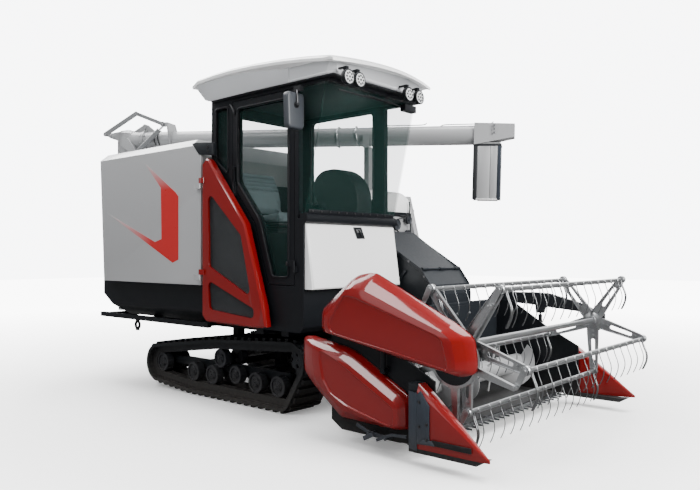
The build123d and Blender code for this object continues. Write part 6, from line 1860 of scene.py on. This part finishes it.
RIM_LINE = [(560, 1424), (745, 1312), (1000, 1157), (1090, 1033), (1105, 950), (1105, 800)]
bm = bmesh.new()
for y, out in zip(FEEDER_SIDES, (-1, 1)):
    prism(bm, ribbon(RIM_LINE, 26), y, y + out * 7)
x, z = SEAM
round_rod(bm, (x, FEEDER_SIDES[0] + 10, z), (x, FEEDER_SIDES[1] - 10, z), 9, 16)
for y in (FEEDER_SIDES[0] + 10, 400, FEEDER_SIDES[1] - 90):
    round_rod(bm, (x, y, z), (x, y + 80, z), 15, 20)
soften(bm, 2, 1, 50)
as_piece("feeder_rims", bm, SLATE, "header")
rim_spots = [(x, 122, z) for x, z in ((640, 1376), (760, 1303), (880, 1230), (1040, 1102))]
bolts("feeder_bolts", rim_spots, (0, -1, 0), DARK_STEEL, "header", 13, 6)
bm = bmesh.new()
prism(bm, ribbon([(850, 1150), (760, 1050)], 22), 108, 122)
prism(bm, ribbon([(700, 800), (980, 560)], 30), 116, 128)
soften(bm, 2, 1, 50)
as_piece("feeder_struts", bm, SLATE, "header")
print("feeder rims: 2")

# %% [markdown]
# The unloading auger lies askew, so its pieces are drawn as if it pointed along x, and one matrix then
# sets them along the real boom. The chute gets its rubber edge, two pale panels with a seam, a gasket and
# a lip. Pipes run along the tube on the bar tree, and bolts ring its flanges.

# %% Auger details
BOOM_AT, BOOM_YAW, BOOM_FALL, BOOM_R = (-2250, -630, 2490), 26.25, 1.5, 90
BOOM_PLACE = (
    Matrix.Translation(side(*BOOM_AT))
    @ Matrix.Rotation(math.radians(BOOM_YAW), 4, "Z")
    @ Matrix.Rotation(math.radians(BOOM_FALL), 4, "Y")
)
BOOM_AXIS = tuple(BOOM_PLACE.to_3x3() @ Vector((1, 0, 0)))
BOOM_SIDE = tuple(BOOM_PLACE.to_3x3() @ Vector((0, -1, 0)))


def boom_point(u, across, up):
    """A point given along the boom, to its left and above its axis, in millimetres of the machine."""
    return tuple(BOOM_PLACE @ side(u, across, up) / MM)


def boom_piece(name, bm, finish, smooth=35):
    """A piece drawn along x, set along the boom."""
    bmesh.ops.transform(bm, matrix=BOOM_PLACE, verts=bm.verts)
    return as_piece(name, bm, finish, "auger_boom", smooth)


CHUTE_REAR, CHUTE_FRONT, CHUTE_HALF = 3640, 3880, 75
# name, finish, slot, then the boxes on each side: u from and to, how far out from and to, height from and to
CHUTE_TRIMS = (
    ("panels", SILVER, "silver_paint", ((3676, 3786, -1, 4, -592, -112), (3792, 3852, -1, 4, -592, -112))),
    ("rubber", RUBBER, "rubber", ((3634, 3672, -3, 8, -600, -108), (3634, 3886, -3, 8, -112, -92))),
    ("edges", POST_BLUE, "slate_paint", ((3854, 3885, -2, 6, -600, -112),)),
    ("lip", WHITE, "silver_paint", ((3670, 3858, -4, 10, -606, -594),)),
)
for name, finish, slot, boxes in CHUTE_TRIMS:
    bm = bmesh.new()
    for hand in (-1, 1):
        for u_low, u_high, inner, outer, low, high in boxes:
            y_low, y_high = sorted((hand * (CHUTE_HALF + inner), hand * (CHUTE_HALF + outer)))
            block(bm, (u_low, y_low, low), (u_high, y_high, high))
    if name == "rubber":
        for u_low, u_high in ((CHUTE_REAR - 8, CHUTE_REAR + 1), (CHUTE_FRONT - 1, CHUTE_FRONT + 8)):
            block(bm, (u_low, -CHUTE_HALF, -112), (u_high, CHUTE_HALF, -92))
    soften(bm, 2)
    boom_piece("chute_" + name, bm, finish)
hood_spots = [boom_point(3819, -101, up) for up in (70, 40, 5)]
bolts("boom_hood_bolts", hood_spots, BOOM_SIDE, ZINC, "auger_boom", 13, 6)
bolt_angles = [45 * k + 22 for k in range(8)]
front_ring = [boom_point(240, *on_circle((0, 0), BOOM_R + 7, a)) for a in bolt_angles]
rear_ring = [boom_point(196, *on_circle((0, 0), BOOM_R + 7, a)) for a in bolt_angles if abs(a - 90) > 30]
bolts("flange_bolts_boom", front_ring, BOOM_AXIS, ZINC, "auger_boom", 13, 7)
bolts(
    "flange_bolts_turret", rear_ring, tuple(-c for c in BOOM_AXIS), ZINC, "auger_turret", 13, 7
)
# u of the ends of each pipe on top of the tube
for number, (start, end) in enumerate(((2680, 3180), (3330, 3800)), start=1):
    pipe = [
        (start - 16, 0, 84), (start, 0, 104), (start + 60, 0, 104), (end - 60, 0, 104), (end, 0, 104),
        (end + 4, 0, 124),
    ]
    bent_bar("boom_pipe_" + str(number), [boom_point(*p) for p in pipe], 5, ZINC, "auger_boom")


def hoop(u, slant, first, last, radius, count=14):
    """Points of an arc round the boom, seen along it, from one angle to another."""
    points = []
    for k in range(count):
        share = k / (count - 1)
        points.append(
            boom_point(u + slant * share, *on_circle((0, 0), radius, first + (last - first) * share))
        )
    return points


bent_bar("boom_clamp", hoop(2330, 0, 75, 285, 97), 8, ZINC, "auger_boom")
bent_bar("boom_strap", hoop(2500, 40, 80, 250, 98), 10, ZINC, "auger_boom")
for number, u in enumerate((330, 372), start=1):
    bent_bar(
        "boom_hose_pipe_" + str(number), hoop(u, 46, 70, 215, 99), 6, PLASTIC, "auger_boom"
    )
# heights of the fixed collar, the turning one above it and the turret's cap
RISER_Z, TURRET_Z, CAP_Z = 2252, 2298, 2588
bm = bmesh.new()
collar = [(101, 0), (114, 0), (117, 4), (117, 30), (114, 34), (101, 34)]
turned_solid(bm, collar, (*BOOM_AT[:2], RISER_Z), (0, 0, 1), 40)
as_piece("riser_collar", bm, SILVER, "base")
bm = bmesh.new()
collar = [(109, 0), (118, 0), (121, 4), (121, 26), (118, 30), (109, 30)]
turned_solid(bm, collar, (*BOOM_AT[:2], TURRET_Z), (0, 0, 1), 40)
turned_solid(bm, [(0, 0), (40, 0), (40, 10), (34, 16), (0, 18)], (*BOOM_AT[:2], CAP_Z), (0, 0, 1), 32)
as_piece("turret_collar", bm, SILVER, "auger_turret")
print("auger pieces ready")

# %% [markdown]
# Every roller turns on a greased hub with a pressed rim. Each rim and cap is one turned profile, and the
# bolt tree closes the caps. The drive sprockets get a bolted hub.

# %% Wheels
# x, z and radius of the wheels inside each track
WHEELS = (
    (171, 200, 87), (-105, 200, 87), (-696, 200, 87), (-972, 200, 87), (-577, 360, 83), (-1460, 240, 88),
    (-370, 235, 78),
)
TRACK_MID, DISC_OUT, DISH_DEEP = 600, 131, 12
SPROCKET = (370, 420)
bm = bmesh.new()
cap_spots = {-1: [], 1: []}
for hand in (-1, 1):
    face = hand * (TRACK_MID + DISC_OUT)
    for x, z, r in WHEELS:
        rim = [(r * 0.79, -3), (r * 0.8, 1.5), (r * 0.9, 2.5), (r - 4, 1.5), (r - 3, -3)]
        turned_solid(bm, rim, (x, face, z), (0, hand, 0), 36)
        cap = [(0, -DISH_DEEP), (r * 0.5, -DISH_DEEP), (r * 0.46, -4), (r * 0.3, 1), (r * 0.27, 6), (0, 7)]
        turned_solid(bm, cap, (x, face, z), (0, hand, 0), 32)
        for k in range(4):
            spot_x, spot_z = on_circle((x, z), r * 0.36, 45 + 90 * k)
            cap_spots[hand].append((spot_x, face + hand, spot_z))
        cap_spots[hand].append((x, face + hand * 8, z))
    hub = [(0, 0), (70, 0), (66, 9), (44, 12), (40, 20), (0, 22)]
    turned_solid(bm, hub, (SPROCKET[0], hand * (TRACK_MID + 30), SPROCKET[1]), (0, hand, 0), 32)
    for k in range(6):
        spot_x, spot_z = on_circle(SPROCKET, 56, 60 * k)
        cap_spots[hand].append((spot_x, hand * (TRACK_MID + 42), spot_z))
as_piece("wheel_caps", bm, CAST, "base", 40)
for hand, label in SIDES:
    bolts("wheel_bolts_" + label, cap_spots[hand], (0, hand, 0), DARK_STEEL, "base", 11, 6)
print("wheels:", 2 * len(WHEELS))

# %% [markdown]
# The left side and the rear aren't in the photograph. Sheet covers of this size are stiffened by pressed
# swages and vented by louvres, and a hood for straw ends in hanging rubber flaps, so they get these. A
# swage is a low softened bar, and each louvre is a tilted blade.

# %% Left covers and rear
COVER_OUT = 990
LOUVRES, LOUVRE_LOW, LOUVRE_PITCH = 12, 1030, 48
FLAPS, FLAP_PITCH, FLAP_W = 6, 124, 120
STRAW_BACK = -2566
bm = bmesh.new()
for z in (900, 1700):
    block(bm, (-1820, COVER_OUT - 3, z), (-660, COVER_OUT + 7, z + 34))
for x in (-1820, -700):
    block(bm, (x, COVER_OUT - 3, 960), (x + 34, COVER_OUT + 7, 1670))
soften(bm, 9, 3)
as_piece("rear_cover_swages", bm, SILVER, "base")
bm = bmesh.new()
for k in range(LOUVRES):
    z = LOUVRE_LOW + LOUVRE_PITCH * k
    blade = [(COVER_OUT - 4, z), (COVER_OUT + 13, z - 12), (COVER_OUT + 15, z - 9), (COVER_OUT - 4, z + 26)]
    prism(bm, blade, -1560, -960, "front")
soften(bm, 1.5, 1)
as_piece("cover_louvres", bm, SILVER, "base")
bm = bmesh.new()
for z in (900, 1700):
    block(bm, (-440, COVER_OUT - 3, z), (310, COVER_OUT + 7, z + 34))
brace = [(-440, 980), (-404, 980), (310, 1600), (310, 1640), (274, 1640), (-440, 1022)]
prism(bm, brace, COVER_OUT - 3, COVER_OUT + 6)
soften(bm, 8, 3)
as_piece("left_cover_swages", bm, SILVER, "left_cover")
bm = bmesh.new()
block(bm, (300, COVER_OUT - 2, 1240), (352, COVER_OUT + 5, 1400))
soften(bm, 3)
as_piece("left_cover_plate", bm, BLACK, "left_cover")
grip = [(326, COVER_OUT + y, z) for y, z in ((4, 1262), (32, 1270), (34, 1320), (32, 1370), (4, 1378))]
bent_bar("left_cover_grip", grip, 8, PLASTIC, "left_cover")
bm = bmesh.new()
for k in range(FLAPS):
    y = FLAP_PITCH * (k + 1)
    sway = 8 * math.sin(2.1 * k)
    flap = ((10, 960), (16, 960), (20 + sway, 700), (14 + sway, 700))
    prism(bm, [(STRAW_BACK + x, z) for x, z in flap], y, y + FLAP_W)
soften(bm, 1.5, 1)
as_piece("straw_flaps", bm, RUBBER, "base")
bm = bmesh.new()
block(bm, (STRAW_BACK - 5, 116, 952), (STRAW_BACK + 4, 874, 982))
for y in (160, 760):
    block(bm, (STRAW_BACK - 14, y, 1220), (STRAW_BACK + 2, y + 70, 1300))
soften(bm, 3)
as_piece("straw_hood_trims", bm, BLACK, "base")
bm = bmesh.new()
for y in (195, 795):
    turned_solid(bm, [(0, 13), (26, 13), (25, 18), (16, 21), (0, 22)], (STRAW_BACK, y, 1260), (-1, 0, 0), 28)
as_piece("rear_reflectors", bm, RED, "base")
rear_spots = [(STRAW_BACK - 6, y, 967) for y in (150, 270, 390, 510, 630, 750, 850)]
bolts("straw_flap_bolts", rear_spots, (-1, 0, 0), ZINC, "base", 13, 6)
print("louvres:", LOUVRES, "flaps:", FLAPS)

# %% [markdown]
# The header carries small fittings: clips that hold the knife down, bolts along its back wall, stout end
# fingers on every tine bar, a dark disc on the far hub, and levers below the lower shield.

# %% Header details
KNIFE_TOP, CLIPS, CLIP_PITCH = 95, 8, 268
# x and z of an end finger's points from its bar
FINGER = ((12, -8), (16, -44), (54, -100), (52, -168), (16, -232))
bm = bmesh.new()
clip = [(1744, KNIFE_TOP), (1764, KNIFE_TOP), (1788, 90), (1806, 88), (1806, 93), (1766, 103), (1744, 103)]
for k in range(CLIPS):
    y = (k - (CLIPS - 1) / 2) * CLIP_PITCH
    prism(bm, clip, y - 18, y + 18)
soften(bm, 1.5, 1)
as_piece("knife_clips", bm, DARK_STEEL, "header")
wall_spots = [(1187, -1000 + 200 * k, 780) for k in range(11)]
bolts("header_wall_bolts", wall_spots, (1, 0, 0), ZINC, "header", 14, 7)
for index, angle in enumerate(BAR_ANGLES, start=1):
    bar_x, bar_z = about_reel(REEL_R, angle)
    for hand, label in SIDES:
        finger = [(bar_x + x, hand * 950, bar_z + z) for x, z in FINGER]
        name = "end_fingers_" + str(index) + "_" + label
        step = (0, hand * -16, 0)
        bent_bar(name, finger, 5.5, TINE_STEEL, "tine_bar_" + str(index), 2, step, 8)
bm = bmesh.new()
disc = [(0, 0), (88, 0), (92, 4), (88, 9), (60, 12), (56, 24), (0, 26)]
turned_solid(bm, disc, (REEL_X, 1016, REEL_Z), (0, 1, 0), 40)
as_piece("far_hub_disc", bm, BLACK, "reel")
# x and z along each lever, its width, and y of its two faces
KNIFE_LEVERS = (
    ([(1380, 168), (1500, 128), (1640, 118)], 24, -1150, -1140),
    ([(1560, 96), (1680, 150), (1800, 158)], 20, -1166, -1156),
    ([(1460, 92), (1540, 132)], 30, -1176, -1168),
)
bm = bmesh.new()
for line, width, out, inner in KNIFE_LEVERS:
    prism(bm, ribbon(line, width), out, inner)
round_rod(bm, (1640, -1180, 118), (1640, -1100, 118), 9, 16)
round_rod(bm, (1500, -1178, 128), (1500, -1100, 128), 9, 16)
soften(bm, 1.5, 1, 50)
as_piece("knife_levers", bm, POST_BLUE, "header")
print("end fingers:", 4 * len(BAR_ANGLES))
